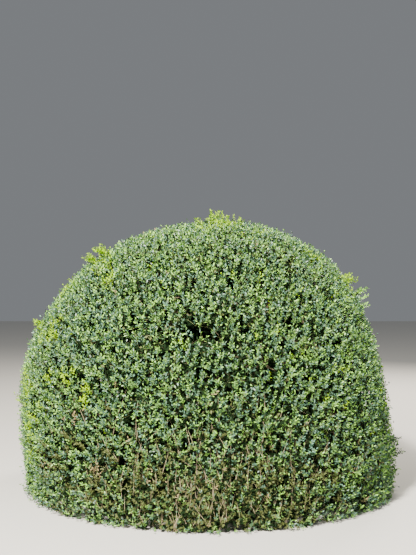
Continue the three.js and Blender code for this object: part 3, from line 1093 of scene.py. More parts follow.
@dataclass
class Canopy:
    """The leafy shoots of the whole dome, before they are dealt out to the masses."""

    outline: Outline
    count: int = 24000
    sprigs: int = 6900
    # How far places stray along the outline, and the share of that by which they slip aside.
    jitter: float = 0.020
    slip: float = 0.5
    # How strongly a shoot's place is drawn to its sprig's.
    sprig_pull: float = 0.10
    # How unevenly the tips stand: sprig by sprig, in long waves, and one by one.
    sprig_rise: float = 0.009
    wave_length: float = 0.30
    wave_rise: float = 0.008
    tip_rise: float = 0.009
    rise_limits: Range = (-0.045, 0.022)
    straggler_share: float = 0.05
    straggler_rise: Range = (0.008, 0.034)
    foot_flare: float = 0.020
    foot_height: float = 0.14
    dent: Spot = Spot(192, 1.34, 0.26, 0.028)
    # How long the shoots are, and which way they head.
    shoot_length: float = 0.068
    length_shares: Range = (0.85, 1.2)
    upward: float = 0.95
    bare_upward: float = 0.9
    wander: float = 0.26
    tip_inset: float = 0.020
    lowest_root: float = 0.010
    lowest_tip: float = 0.022
    # The pairs of leaves on a shoot and the sizes of its leaves, and what thin foliage loses of both.
    pairs: int = 4
    fewest_pairs: int = 3
    lost_pairs: int = 2
    lost_pairs_chance: float = 0.7
    leaf_sizes: Range = (0.84, 1.16)
    lost_size: float = 0.18
    # Where shoots are missing: in hollows, in small gaps, where the foliage is thin, at the foot.
    hollow_share: float = 0.30
    hollow_edge: Range = (0.80, 1.20)
    gap_length: float = 0.10
    gap_level: float = 1.30
    gap_loss: float = 0.85
    bare_loss: float = 0.34
    most_loss: float = 0.9
    ragged_foot: float = 0.14
    ragged_length: float = 0.13
    ragged_level: float = 0.5
    # The thin foliage: its middle, its reach in depth and height, and how patchy it is.
    bare_foot: Spot = Spot(272, 0.18, 0.58)
    bare_reach: Range = (0.6, 0.26)
    bare_falloff: float = 0.8
    patch_length: float = 0.16
    patch_level: float = 0.8
    patch_swing: float = 0.35
    barest: float = 1.15
    # How often each finish turns up: the four greens, and single shoots of other finishes.
    green_shares: tuple[float, ...] = (0.38, 0.28, 0.14, 0.20)
    fresh_chance: float = 0.008
    olive_chance: float = 0.74
    dead_chance: float = 0.003
    bare_dead_chance: float = 0.07
    hollows: tuple[Spot, ...] = (
        Spot(265, 1.232, 0.086), Spot(267, 1.190, 0.056), Spot(262, 1.280, 0.062),
        Spot(272, 1.212, 0.076), Spot(273, 1.335, 0.050), Spot(274.5, 1.290, 0.036),
        Spot(281, 1.235, 0.046), Spot(278, 1.052, 0.038), Spot(274, 0.935, 0.036),
        Spot(274.5, 0.980, 0.030), Spot(286, 1.044, 0.038), Spot(243, 1.262, 0.042),
        Spot(257, 1.137, 0.044), Spot(236, 1.095, 0.034), Spot(226, 0.992, 0.040),
        Spot(231, 0.902, 0.042), Spot(229, 0.590, 0.052), Spot(216, 0.321, 0.052),
        Spot(226, 0.242, 0.048), Spot(240, 0.350, 0.050), Spot(303, 1.160, 0.046),
        Spot(298, 0.720, 0.042), Spot(250, 0.800, 0.036), Spot(309, 0.560, 0.050),
        Spot(100, 1.250, 0.055), Spot(50, 0.850, 0.055), Spot(160, 1.050, 0.050))
    fresh_spots: tuple[Spot, ...] = (
        Spot(197, 1.695, 0.090, 0.90), Spot(191, 1.735, 0.080, 0.70), Spot(226, 1.548, 0.056, 0.95),
        Spot(215, 1.640, 0.110, 0.22), Spot(192, 1.464, 0.090, 0.75), Spot(211, 1.180, 0.110, 0.42),
        Spot(204, 1.116, 0.060, 0.60), Spot(196, 1.260, 0.120, 0.25), Spot(228, 0.955, 0.030, 1.00),
        Spot(217, 0.897, 0.048, 0.95), Spot(226, 0.888, 0.028, 0.95), Spot(234, 0.850, 0.032, 0.85),
        Spot(233, 0.780, 0.034, 0.65), Spot(199, 0.770, 0.130, 0.60), Spot(210, 0.720, 0.200, 0.20),
        Spot(209, 0.560, 0.130, 0.35), Spot(205, 0.400, 0.130, 0.30), Spot(335, 1.436, 0.100, 0.40),
        Spot(345, 1.500, 0.110, 0.45), Spot(334, 1.718, 0.070, 0.55), Spot(296, 1.935, 0.110, 0.75),
        Spot(275, 1.920, 0.130, 0.40), Spot(317, 1.887, 0.070, 0.55), Spot(70, 1.500, 0.130, 0.40),
        Spot(110, 0.900, 0.130, 0.35), Spot(20, 1.100, 0.120, 0.35), Spot(140, 1.650, 0.090, 0.55))
    cool_spots: tuple[Spot, ...] = (
        Spot(230, 1.180, 0.340, 0.36), Spot(208, 1.350, 0.260, 0.32), Spot(300, 0.820, 0.280, 0.25),
        Spot(90, 1.100, 0.350, 0.30))
    old_spots: tuple[Spot, ...] = (
        Spot(226, 0.280, 0.300, 0.30), Spot(245, 0.300, 0.220, 0.30), Spot(263, 1.190, 0.110, 0.22),
        Spot(300, 0.250, 0.200, 0.25), Spot(30, 0.300, 0.250, 0.25))
    dead_spots: tuple[Spot, ...] = (
        Spot(232, 0.669, 0.055, 0.45), Spot(239, 0.316, 0.07, 0.35), Spot(218, 0.276, 0.06, 0.35),
        Spot(264, 0.266, 0.10, 0.22), Spot(80, 0.400, 0.08, 0.30))
    blue_spots: tuple[Spot, ...] = (
        Spot(297, 0.501, 0.065, 0.75), Spot(298, 0.400, 0.050, 0.7), Spot(283, 0.690, 0.045, 0.5),
        Spot(252, 0.560, 0.040, 0.6), Spot(60, 0.800, 0.060, 0.6))
    tufts: tuple[Tuft, ...] = (
        Tuft(0.035, -0.060, 0.086, 9, 0.030), Tuft(0.137, -0.110, 0.058, 8, 0.032),
        Tuft(0.212, -0.090, 0.030, 6, 0.030), Tuft(-0.045, -0.120, 0.022, 6, 0.030))
    loose: tuple[LooseSpray, ...] = (
        LooseSpray(356, 0.230, 0.050, 15, LeafKind.DEEP_GREEN),
        LooseSpray(352, 0.330, 0.040, 12, LeafKind.DEEP_GREEN),
        LooseSpray(348, 0.120, 0.026, 10, LeafKind.MID_GREEN),
        LooseSpray(350, 1.390, 0.066, 8, LeafKind.PALE_GREEN),
        LooseSpray(347, 1.490, 0.044, 7, LeafKind.FRESH),
        LooseSpray(346, 1.330, 0.030, 7, LeafKind.PALE_GREEN),
        LooseSpray(195, 1.700, 0.038, 11, LeafKind.FRESH),
        LooseSpray(190, 1.640, 0.026, 9, LeafKind.FRESH),
        LooseSpray(192, 1.180, 0.008, 6, LeafKind.FRESH),
        LooseSpray(186, 0.620, 0.012, 6, LeafKind.FRESH),
        LooseSpray(80, 1.700, 0.045, 6, LeafKind.FRESH),
        LooseSpray(40, 0.900, 0.035, 6, LeafKind.MID_GREEN),
        LooseSpray(130, 1.300, 0.040, 6, LeafKind.MID_GREEN))

    def grow(self) -> Shoots:
        """Place the shoots over the outline.

        Returns:
            The shoots.
        """
        rng = np.random.default_rng(SEED)
        azimuth, share = self.outline.spiral(self.count)
        radius, _ = self.outline.profile(share)
        turn = rng.uniform(-1, 1, self.count) * self.jitter / np.maximum(radius, INNERMOST)
        outer, outward = self._slipped(azimuth + np.degrees(turn), share, rng)
        centres, facing = self._slipped(*self.outline.spiral(self.sprigs), rng)
        sprig = nearest(outer, centres)
        outer = outer + (centres[sprig] - outer) * self.sprig_pull
        bare = self.bareness(outer)
        tips = outer - outward * (self.tip_inset - self._lift(outer, sprig, rng))[:, None]
        upward = self.upward + self.bareness(centres) * self.bare_upward
        axis = unit(facing + UP * upward[:, None] + rng.normal(size=centres.shape) * self.wander)
        length = self.shoot_length * rng.uniform(*self.length_shares, self.sprigs)
        roots = (centres - facing * self.tip_inset - axis * length[:, None])[sprig]
        roots[:, 2] = np.maximum(roots[:, 2], self.lowest_root)
        tips[:, 2] = np.maximum(tips[:, 2], self.lowest_tip)
        kinds = self._deal_kinds(outer, bare, sprig, rng)
        few = rng.uniform(size=self.count) < bare * self.lost_pairs_chance
        pairs = np.where(few, self.pairs - self.lost_pairs, self.pairs)
        sizes = rng.uniform(*self.leaf_sizes, self.count) * (1 - self.lost_size * np.clip(bare, 0, 1))
        shoots = Shoots(roots, tips, pairs, kinds, sizes, sprig).part(self._kept(outer, bare, rng))
        for set_number, strays in enumerate((self.tufts, self.loose), start=1):
            shoots = shoots.joined(self._stray_shoots(strays, self.sprigs * set_number, rng))
        return shoots

    def _slipped(self, azimuth: np.ndarray, share: np.ndarray, rng: np.random.Generator) -> ArrayPair:
        """Give points on the outline that have slipped aside a little.

        Args:
            azimuth: azimuths in degrees.
            share: places along the outline, from the foot (0) to the top (1).
            rng: the seeded generator.

        Returns:
            The points, and the directions that face outwards there.
        """
        points, outward = self.outline.surface(azimuth % 360, share)
        aside = np.cross(outward, rng.normal(size=points.shape)) * self.jitter * self.slip
        return points + aside, outward

    def _lift(self, outer: np.ndarray, sprig: np.ndarray, rng: np.random.Generator) -> np.ndarray:
        """Work out how far each shoot's tip stands over the even outline.

        Args:
            outer: the outline's point for each shoot.
            sprig: the sprig of each shoot.
            rng: the seeded generator.

        Returns:
            The height of each tip over the outline, in metres.
        """
        lift = rng.normal(size=self.sprigs)[sprig] * self.sprig_rise
        waves = ripple(outer, self.wave_length, SEED + 1) * self.wave_rise
        lift += waves + rng.normal(size=self.count) * self.tip_rise
        straggles = rng.uniform(size=self.count) < self.straggler_share
        lift = np.clip(lift, *self.rise_limits)
        lift += straggles * rng.uniform(*self.straggler_rise, self.count)
        lift += np.clip(1 - outer[:, 2] / self.foot_height, 0, 1) * self.foot_flare
        return lift - np.exp(-(self._apart(outer, self.dent) / self.dent.radius) ** 2) * self.dent.share

    def _apart(self, points: np.ndarray, spot: Spot) -> np.ndarray:
        """Tell how far points are from a spot."""
        return np.linalg.norm(points - self.outline.spot_centre(spot), axis=1)

    def hollowed(self, points: np.ndarray, rng: np.random.Generator) -> np.ndarray:
        """Tell which points lie in one of the hollows."""
        inside = np.zeros(len(points), dtype=bool)
        for spot in self.hollows:
            edge = rng.uniform(*self.hollow_edge, len(points))
            inside |= self._apart(points, spot) < spot.radius * edge
        return inside

    def _kept(self, outer: np.ndarray, bare: np.ndarray, rng: np.random.Generator) -> np.ndarray:
        """Tell which shoots stand: few in the hollows, and fewer where the foliage is thin."""
        keep = ~self.hollowed(outer, rng) | (rng.uniform(size=len(outer)) < self.hollow_share)
        gaps = np.clip(ripple(outer, self.gap_length, SEED + 2) - self.gap_level, 0, 1)
        ragged = np.clip(ripple(outer, self.ragged_length, SEED + 5) + self.ragged_level, 0, 1)
        ragged *= np.clip(1 - outer[:, 2] / self.ragged_foot, 0, 1)
        loss = np.clip(bare * self.bare_loss + gaps * self.gap_loss + ragged, 0, self.most_loss)
        return keep & (rng.uniform(size=len(outer)) > loss)

    def bareness(self, outer: np.ndarray) -> np.ndarray:
        """Tell how bare the foliage is, from 0 to 1: barest low down in the middle of the front."""
        reach = np.array([self.bare_foot.radius, *self.bare_reach])
        away = (outer - self.outline.spot_centre(self.bare_foot)) / reach
        patches = ripple(outer, self.patch_length, SEED + 3)
        patchy = np.clip(self.patch_level + self.patch_swing * patches, 0, self.barest)
        return np.exp(-self.bare_falloff * (away**2).sum(axis=1)) * patchy

    def _deal_kinds(self, outer: np.ndarray, bare: np.ndarray, sprig: np.ndarray,
                    rng: np.random.Generator) -> np.ndarray:
        """Deal the leaf finishes out to the shoots, those of the spots to whole sprigs.

        Args:
            outer: the outline's point for each shoot.
            bare: how bare the foliage is there.
            sprig: the sprig of each shoot.
            rng: the seeded generator.

        Returns:
            The finish of each shoot.
        """
        kinds = rng.choice(GREENS, size=len(outer), p=self.green_shares)
        chance = rng.uniform(size=len(outer))
        kinds[chance < self.fresh_chance] = LeafKind.FRESH
        kinds[chance < bare * self.olive_chance] = LeafKind.OLIVE
        kinds[chance > 1 - self.dead_chance - bare * self.bare_dead_chance] = LeafKind.DEAD
        for spots, kind in ((self.cool_spots, LeafKind.BLUE_GREEN), (self.old_spots, LeafKind.OLIVE),
                            (self.fresh_spots, LeafKind.FRESH), (self.dead_spots, LeafKind.DEAD),
                            (self.blue_spots, LeafKind.BLUE_GREY)):
            for spot in spots:
                sprig_chance = rng.uniform(size=self.sprigs)[sprig]
                chance = (sprig_chance * 2 + rng.uniform(size=len(outer))) / 3
                kinds[(self._apart(outer, spot) < spot.radius) & (chance < spot.share)] = kind
        return kinds

    def _stray_shoots(self, strays: tuple[Tuft | LooseSpray, ...], first_sprig: int,
                      rng: np.random.Generator) -> Shoots:
        """Grow tufts or loose sprays, whose shoots each stand as a sprig of their own.

        Args:
            strays: the tufts or the loose sprays.
            first_sprig: the number of their first sprig.
            rng: the seeded generator.

        Returns:
            Their shoots.
        """
        grown = [(*stray.shoot(self.outline, rng), stray.kind)
                 for stray in strays for _ in range(stray.shoots)]
        roots, tips, kinds = (np.array(column) for column in zip(*grown))
        length = np.linalg.norm(tips - roots, axis=1)
        pairs = np.maximum((length / strays[0].pair_gap).astype(int), self.fewest_pairs)
        sizes = rng.uniform(*strays[0].leaf_sizes, len(roots))
        return Shoots(roots, tips, pairs, kinds, sizes, first_sprig + np.arange(len(roots)))


@dataclass
class BareTwigs:
    """Leafless twigs that show where the foliage is thin, low down in the middle of the front."""

    canopy: Canopy
    for_each_shoot: float = 1.1
    shortest: float = 0.070
    longest: float = 0.210
    radius: float = 0.0024
    outward: float = 0.22
    wander: float = 0.30
    overhang: float = 0.006

    def grow(self, own: Shoots, seed: int) -> ArrayPair:
        """Grow bare twigs from the roots of the leafy shoots where the foliage is thin.

        Args:
            own: the leafy shoots of one mass.
            seed: seed for the twigs.

        Returns:
            The starts and the ends of the twigs.
        """
        rng = np.random.default_rng(seed)
        bare = self.canopy.bareness(own.roots)
        chosen = np.flatnonzero(rng.uniform(size=len(bare)) < bare * self.for_each_shoot)
        starts = own.roots[chosen]
        outward = unit(starts * np.array([1.0, 1.0, 0.0]))
        heading = unit(UP + outward * self.outward + rng.normal(size=starts.shape) * self.wander)
        ends = starts + heading * rng.uniform(self.shortest, self.longest, len(starts))[:, None]
        reach = np.linalg.norm(own.tips[chosen][:, :2], axis=1) + self.overhang
        out = np.linalg.norm(ends[:, :2], axis=1)
        ends[:, :2] *= np.minimum(1, reach / out)[:, None]
        return starts, ends


@dataclass
class LeafShape:
    """A small oval leaf, folded a little along its midrib."""

    length: float = 0.0197
    width: float = 0.0083
    fold: float = 0.0013
    droop: float = 0.0016
    along: tuple[float, ...] = (0.0, 0.34, 0.70, 1.0, 0.70, 0.34)
    across: tuple[float, ...] = (0.0, 0.50, 0.44, 0.0, -0.44, -0.50)
    corners: tuple[tuple[int, int, int], ...] = ((0, 2, 1), (0, 3, 2), (0, 5, 4), (0, 4, 3))
    # Leaves that would reach below this height are left out.
    ground: float = 0.004

    def arrays(self, base: np.ndarray, heading: np.ndarray, face: np.ndarray,
               scale: np.ndarray) -> np.ndarray:
        """Make leaves.

        Args:
            base: where each leaf is attached.
            heading: the way each leaf points.
            face: the way each upper side faces.
            scale: the size of each leaf.

        Returns:
            The points of each leaf.
        """
        side = np.cross(face, heading)
        along = np.array(self.along)[None, :, None] * self.length * scale[:, None, None]
        across = np.array(self.across)[None, :, None] * self.width * scale[:, None, None]
        drops = [0.0] + [self.droop if share == 1.0 else self.fold for share in self.along[1:]]
        drop = np.array(drops)[None, :, None] * scale[:, None, None]
        points = base[:, None, :] + heading[:, None, :] * along + side[:, None, :] * across
        return points - face[:, None, :] * drop

    def above_ground(self, points: np.ndarray, kinds: np.ndarray) -> MeshArrays:
        """Make one mesh of the leaves that clear the ground.

        Args:
            points: the points of each leaf.
            kinds: the finish of each leaf.

        Returns:
            Points, faces of three corners, and the finish of each face.
        """
        clear = points[:, :, 2].min(axis=1) > self.ground
        firsts = np.arange(clear.sum()) * len(self.along)
        faces = (np.array(self.corners)[None, :, :] + firsts[:, None, None]).reshape(-1, 3)
        return points[clear].reshape(-1, 3), faces, np.repeat(kinds[clear], len(self.corners))


@dataclass
class InnerLeafShape(LeafShape):
    """A leaf in the shade inside, of two faces, a little larger than life."""

    length: float = 0.0310
    width: float = 0.0156
    fold: float = 0.0024
    droop: float = 0.0
    along: tuple[float, ...] = (0.0, 0.42, 1.0, 0.42)
    across: tuple[float, ...] = (0.0, 0.50, 0.0, -0.50)
    corners: tuple[tuple[int, int, int], ...] = ((0, 2, 1), (0, 3, 2))


@dataclass
class InnerShoots:
    """Shaded side shoots on the twigs under the outer ones, which close the view into the bush."""

    shape: InnerLeafShape = field(default_factory=InnerLeafShape)
    for_each_shoot: float = 0.47
    leaves: int = 7
    thickest: float = 0.0060
    shortest: float = 0.050
    longest: float = 0.100
    stem_radius: float = 0.0011
    lowest: float = 0.15
    cover: float = 0.012
    middle_height: float = 0.8
    turn: float = 0.42
    foot_share: float = 1.6
    outward: float = 0.30
    upward: float = 0.20
    lowest_tip: float = 0.015
    slip: float = 0.05
    face_up: float = 0.25
    leaf_sizes: Range = (0.75, 1.2)
    # Most of these leaves take the near-black finish: painted shade.
    kinds: tuple[LeafKind, ...] = (LeafKind.PAINTED_SHADE, LeafKind.DEEP_GREEN, LeafKind.OLIVE)
    shares: tuple[float, float, float] = (0.86, 0.08, 0.06)
    olive_chance: float = 0.35

    def grow(self, twigs: Twigs, shoots: int, canopy: Canopy, rng: np.random.Generator) -> ArrayPair:
        """Place the side shoots on the twigs of a mass.

        Args:
            twigs: the mass's twigs.
            shoots: how many leafy outer shoots the mass has.
            canopy: the canopy, whose hollows stay free.
            rng: the seeded generator.

        Returns:
            The starts and the ends of the side shoots.
        """
        starts, ends, low, _ = twigs.arrays()
        weight = np.linalg.norm(ends - starts, axis=1) * (low < self.thickest)
        weight *= 1 + canopy.bareness(ends) * self.foot_share
        count = int(shoots * self.for_each_shoot)
        index = rng.choice(len(starts), size=count, p=weight / weight.sum())
        base = starts[index] + (ends - starts)[index] * rng.uniform(size=count)[:, None]
        outward = self._outward(base)
        sideways = unit(np.cross(outward, rng.normal(size=base.shape)))
        heading = unit(sideways + outward * self.outward + UP * self.upward)
        tips = base + heading * rng.uniform(self.shortest, self.longest, count)[:, None]
        tips[:, 2] = np.maximum(tips[:, 2], self.lowest_tip)
        free = ~canopy.hollowed(tips, rng) & (canopy.outline.depth(tips) > self.cover)
        return base[free], tips[free]

    def _outward(self, points: np.ndarray) -> np.ndarray:
        """Give the way out of the bush at some points."""
        low = np.minimum(points[:, 2], self.middle_height)
        return unit(points - np.stack([low * 0, low * 0, low], axis=1))

    def arrays(self, base: np.ndarray, tips: np.ndarray, canopy: Canopy,
               rng: np.random.Generator) -> MeshArrays:
        """Make the leaves of the side shoots.

        Args:
            base: the starts of the side shoots.
            tips: the ends of the side shoots.
            canopy: the canopy, which tells where old olive leaves take over.
            rng: the seeded generator.

        Returns:
            Points, faces of three corners, and the finish of each face.
        """
        index = np.repeat(np.arange(len(base)), self.leaves)
        share = np.tile(np.linspace(self.lowest, 1.0, self.leaves), len(base))
        share += rng.uniform(-self.slip, 0.0, len(index))
        axis = unit(tips - base)[index]
        place = base[index] + (tips - base)[index] * share[:, None]
        face = unit(self._outward(place) + UP * self.face_up + rng.normal(size=axis.shape) * self.turn)
        heading = unit(np.cross(face, rng.normal(size=axis.shape)))
        points = self.shape.arrays(place, heading, face, rng.uniform(*self.leaf_sizes, len(index)))
        kinds = rng.choice(self.kinds, size=len(index), p=self.shares)
        kinds[rng.uniform(size=len(index)) < canopy.bareness(place) * self.olive_chance] = LeafKind.OLIVE
        return self.shape.above_ground(points, kinds)


@dataclass
class DeepShoots(InnerShoots):
    """Sparse dark side twigs deeper in, one to each place of an even net under the whole outline."""

    shape: InnerLeafShape = field(
        default_factory=lambda: InnerLeafShape(length=0.055, width=0.032, fold=0.004))
    lowest: float = 0.50
    lowest_tip: float = 0.03
    places: int = 9800
    shallowest: float = 0.17
    deepest: float = 0.38
    joints_at: tuple[float, ...] = (0.3, 0.6, 0.95)
    # Every deep leaf takes the near-black finish: painted shade.
    shares: tuple[float, float, float] = (1.0, 0.0, 0.0)

    def reach(self, twigs: Twigs, limb: Limb, outline: Outline, rng: np.random.Generator) -> ArrayPair:
        """Lead a side twig from the nearest branch to each of the mass's places.

        Args:
            twigs: the mass's branches.
            limb: the bough that carries the mass.
            outline: the clipped outline.
            rng: the seeded generator.

        Returns:
            The starts and the ends of the side twigs.
        """
        azimuth, share = outline.spiral(self.places)
        points, outward = outline.surface(azimuth % 360, share)
        points = points - outward * rng.uniform(self.shallowest, self.deepest, self.places)[:, None]
        points[:, 2] = np.maximum(points[:, 2], self.lowest_tip)
        tips = points[nearest_mass(points) == limb.index]
        starts, ends, _, _ = twigs.arrays()
        joints = np.concatenate([starts + (ends - starts) * share for share in self.joints_at])
        return joints[nearest(tips, joints)], tips


@dataclass
class DeadStick:
    """A dead twig that hangs out of the foot of the front, with a side twig down to the ground."""

    mass: str = "front_left"
    radius: float = 0.0052
    stretches: tuple[tuple[Place, Place], ...] = (
        ((-0.055, -1.200, 0.185), (-0.252, -1.352, 0.056)),
        ((-0.190, -1.304, 0.096), (-0.226, -1.350, 0.004)))

    def arrays(self) -> ArrayPair:
        """Give the starts and the ends of its stretches."""
        pairs = np.array(self.stretches)
        return pairs[:, 0], pairs[:, 1]


@dataclass
class LeafSprays:
    """Pairs of leaves up each shoot, each pair turned across the one below."""

    shape: LeafShape = field(default_factory=LeafShape)
    low_shape: LeafShape = field(
        default_factory=lambda: InnerLeafShape(length=0.0215, width=0.0105, fold=0.0013))
    first: float = 0.08
    low_share: float = 0.50
    # How far pairs stray along the shoot, in pair gaps.
    slip: float = 0.3
    # How far leaves lean out of the shoot at its root and its tip, and stray from there, in degrees.
    low_tilt: float = 62.0
    high_tilt: float = 34.0
    tilt_wander: float = 12.0
    turn_wander: float = 18.0
    roll_wander: float = 34.0
    # The size of the leaves at the root of a shoot, and how much smaller they are at its tip.
    size: float = 1.06
    size_drop: float = 0.22
    sizes: Range = (0.86, 1.14)
    # How often a leaf differs from its spray, the share of a spray darkened with painted shade, and the
    # share that is young.
    green_shares: tuple[float, ...] = (0.30, 0.25, 0.25, 0.20)
    mixed_chance: float = 0.35
    painted_shade_below: float = 0.36
    painted_shade_chance: float = 0.6
    young_above: float = 0.84
    young_chance: float = 0.25

    def arrays(self, shoots: Shoots, seed: int) -> MeshArrays:
        """Make the leaves of some shoots.

        Args:
            shoots: the shoots.
            seed: seed for the leaves' small differences.

        Returns:
            Points, faces of three corners, and the finish of each face.
        """
        rng = np.random.default_rng(seed)
        most = int(shoots.pairs.max())
        index = np.repeat(np.arange(len(shoots.roots)), most * 2)
        rank = np.tile(np.repeat(np.arange(most), 2), len(shoots.roots))
        other = np.tile(np.array([0, 1]), len(shoots.roots) * most)
        kept = rank < shoots.pairs[index]
        index, rank, other = index[kept], rank[kept], other[kept]
        total = len(index)
        axis = unit(shoots.tips - shoots.roots)
        helper = unit(np.cross(axis, unit(rng.normal(size=axis.shape))))
        third = np.cross(axis, helper)
        share = (rank + 0.5 + rng.uniform(-self.slip, self.slip, total)) / shoots.pairs[index]
        share = self.first + (1 - self.first) * share
        turn = rank * math.pi / 2 + other * math.pi
        turn += np.radians(rng.normal(size=total) * self.turn_wander)
        tilt = self.low_tilt + (self.high_tilt - self.low_tilt) * share**2
        tilt = np.radians(tilt + rng.normal(size=total) * self.tilt_wander)
        across = helper[index] * np.cos(turn)[:, None] + third[index] * np.sin(turn)[:, None]
        heading = axis[index] * np.cos(tilt)[:, None] + across * np.sin(tilt)[:, None]
        face = axis[index] * np.sin(tilt)[:, None] - across * np.cos(tilt)[:, None]
        roll = np.radians(rng.normal(size=total) * self.roll_wander)
        side = np.cross(face, heading)
        face = unit(face * np.cos(roll)[:, None] + side * np.sin(roll)[:, None])
        base = shoots.roots[index] + (shoots.tips - shoots.roots)[index] * share[:, None]
        scale = shoots.leaf_scale[index] * (self.size - self.size_drop * share**3)
        scale = scale * rng.uniform(*self.sizes, total)
        kinds = self._leaf_kinds(shoots.kinds[index], share, rng)
        low = (rank == 0) | (share < self.low_share)
        made = []
        for shape, chosen in ((self.shape, ~low), (self.low_shape, low)):
            points = shape.arrays(base[chosen], heading[chosen], face[chosen], scale[chosen])
            made.append(shape.above_ground(points, kinds[chosen]))
        return joined_arrays(made)

    def _leaf_kinds(self, kinds: np.ndarray, share: np.ndarray, rng: np.random.Generator) -> np.ndarray:
        """Let a few leaves of a spray differ: painted shade on ones low on it, pale young ones at its end.
        """
        kinds = kinds.copy()
        chance = rng.uniform(size=len(kinds))
        plain = (kinds != LeafKind.DEAD) & (kinds != LeafKind.FRESH) & (kinds != LeafKind.OLIVE)
        mixed = plain & (rng.uniform(size=len(kinds)) < self.mixed_chance)
        kinds[mixed] = rng.choice(GREENS, size=int(mixed.sum()), p=self.green_shares)
        # Low leaves take the near-black finish: painted shade.
        kinds[plain & (share < self.painted_shade_below) & (chance < self.painted_shade_chance)] = LeafKind.PAINTED_SHADE
        kinds[plain & (share > self.young_above) & (chance < self.young_chance)] = LeafKind.PALE_GREEN
        return kinds


@dataclass
class FoliageMass:
    """One mass: branches, twigs and leaves that grow on from the tip of its bough."""

    limb: Limb
    outline: Outline
    stem_length: float = 0.120
    stem_start: float = 0.0003
    stem_taper: float = 0.95
    route_steps: int = 40
    branch_sides: int = 9
    twig_sides: int = 3
    coarse_count: int = 208
    coarse_jitter: float = 0.042
    coarse_inset: float = 0.146
    coarse_rule: BranchRule = BranchRule(tip_radius=0.009, girth_power=0.32)
    fine_rule: BranchRule = BranchRule(tip_radius=0.0011, girth_power=0.50)
    green_below: float = 1.5
    fan_start: float = 0.45
    seam: float = 0.016
    stick: DeadStick = field(default_factory=DeadStick)
    near_shoots: InnerShoots = field(default_factory=InnerShoots)
    deep_shoots: DeepShoots = field(default_factory=DeepShoots)

    def build(self, shoots: Shoots, canopy: Canopy, leaf_materials: list[bpy.types.Material],
              twig_materials: list[bpy.types.Material],
              bark: bpy.types.Material) -> list[bpy.types.Object]:
        """Build the mass's pieces.

        Args:
            shoots: the leafy shoots of the whole dome.
            canopy: the canopy they stand in.
            leaf_materials: leaf finishes in the order of LeafKind.
            twig_materials: woody and green twig finishes.
            bark: the bark of the thicker branches.

        Returns:
            The branches, the twigs, the outer leaves and the inner leaves, most of them darkened with
            painted shade.
        """
        name = self.limb.mass.name
        own = shoots.part(nearest_mass(shoots.roots) == self.limb.index)
        stem, coarse = self._coarse_branches()
        fine = self._fine_twigs(own, coarse)
        points, corners = branch_arrays(*stem.arrays(), self.branch_sides)
        branches = array_mesh(f"branches_{name}", points, corners, np.zeros(len(corners)), [bark])
        branches.data.shade_smooth()
        rng = np.random.default_rng(self._seed(Draw.INNER_LEAVES))
        near = self.near_shoots.grow(fine, len(own.roots), canopy, rng)
        deep = self.deep_shoots.reach(stem, self.limb, self.outline, rng)
        bare_twigs = BareTwigs(canopy)
        stems = [(own.roots, own.tips, self.fine_rule.tip_radius, 1),
                 (*near, self.near_shoots.stem_radius, 0), (*deep, self.deep_shoots.stem_radius, 0),
                 (*bare_twigs.grow(own, self._seed(Draw.BARE_TWIGS)), bare_twigs.radius, 2)]
        if name == self.stick.mass:
            stems.append((*self.stick.arrays(), self.stick.radius, 2))
        twigs = self._twig_piece(f"twigs_{name}", fine, stems, twig_materials)
        leaf_arrays = LeafSprays().arrays(own, self._seed(Draw.LEAVES))
        leaves = array_mesh(f"leaves_{name}", *leaf_arrays, leaf_materials)
        inner_arrays = joined_arrays([self.near_shoots.arrays(*near, canopy, rng),
                                      self.deep_shoots.arrays(*deep, canopy, rng)])
        inner = array_mesh(f"inner_leaves_{name}", *inner_arrays, leaf_materials)
        return [branches, twigs, leaves, inner]

    def _seed(self, draw: Draw) -> int:
        """Give the mass's own seed for what is drawn."""
        return SEED + draw * (self.limb.index + 1)

    def _coarse_branches(self) -> tuple[Twigs, Twigs]:
        """Grow the mass's own stem and the branches that the solid has.

        Returns:
            The stem with all the branches, and the last stretch to each place.
        """
        route = [np.array(point) for point in self.limb.route(self.route_steps)]
        heading = unit(route[-1] - route[-2])
        start = route[-1] + heading * self.stem_start
        fork = start + heading * self.stem_length
        roots = self._coarse_roots()
        own = np.flatnonzero(Space(self.limb.mass).inside(roots, self.seam))
        grown = Twigs()
        grown.add(start, fork, self.limb.tip_radius, self.limb.tip_radius * self.stem_taper)
        branch(fork, roots, own, self.coarse_rule, SeededRandom(self._seed(Draw.BRANCHES)), grown)
        last = Twigs()
        for i, place in enumerate(grown.places):
            if place < 0:
                continue
            mid = grown.starts[i] + (grown.ends[i] - grown.starts[i]) * self.fan_start
            last.add(mid, grown.ends[i], self.coarse_rule.tip_radius, self.coarse_rule.tip_radius, place)
            grown.ends[i] = mid
        return grown, last

    def _coarse_roots(self) -> np.ndarray:
        """Give the roots of the places that the solids' shoots stand on."""
        random = SeededRandom(SEED)
        azimuth, share = self.outline.spiral(self.coarse_count)
        radius, _ = self.outline.profile(share)
        wobble = np.empty(self.coarse_count)
        for i in range(self.coarse_count):
            wobble[i] = random.spread(self.coarse_jitter)
            random()  # The solids draw a second number for each place.
        azimuth = azimuth + np.degrees(wobble / np.maximum(radius, INNERMOST))
        points, outward = self.outline.surface(azimuth % 360, share)
        return points - outward * self.coarse_inset

    def _fine_twigs(self, own: Shoots, coarse: Twigs) -> Twigs:
        """Carry the rule on from the end of each branch to its own leafy shoots."""
        ends = np.array(coarse.ends)
        _, first = np.unique(own.sprigs, return_index=True)
        roots = own.roots[first]
        served = nearest(roots, ends)
        fine = Twigs()
        for i in range(len(ends)):
            places = np.flatnonzero(served == i)
            if len(places) == 0:
                continue
            random = SeededRandom(SEED + Draw.FINE_TWIGS * coarse.places[i])
            branch(coarse.starts[i], roots, places, self.fine_rule, random, fine)
        return fine

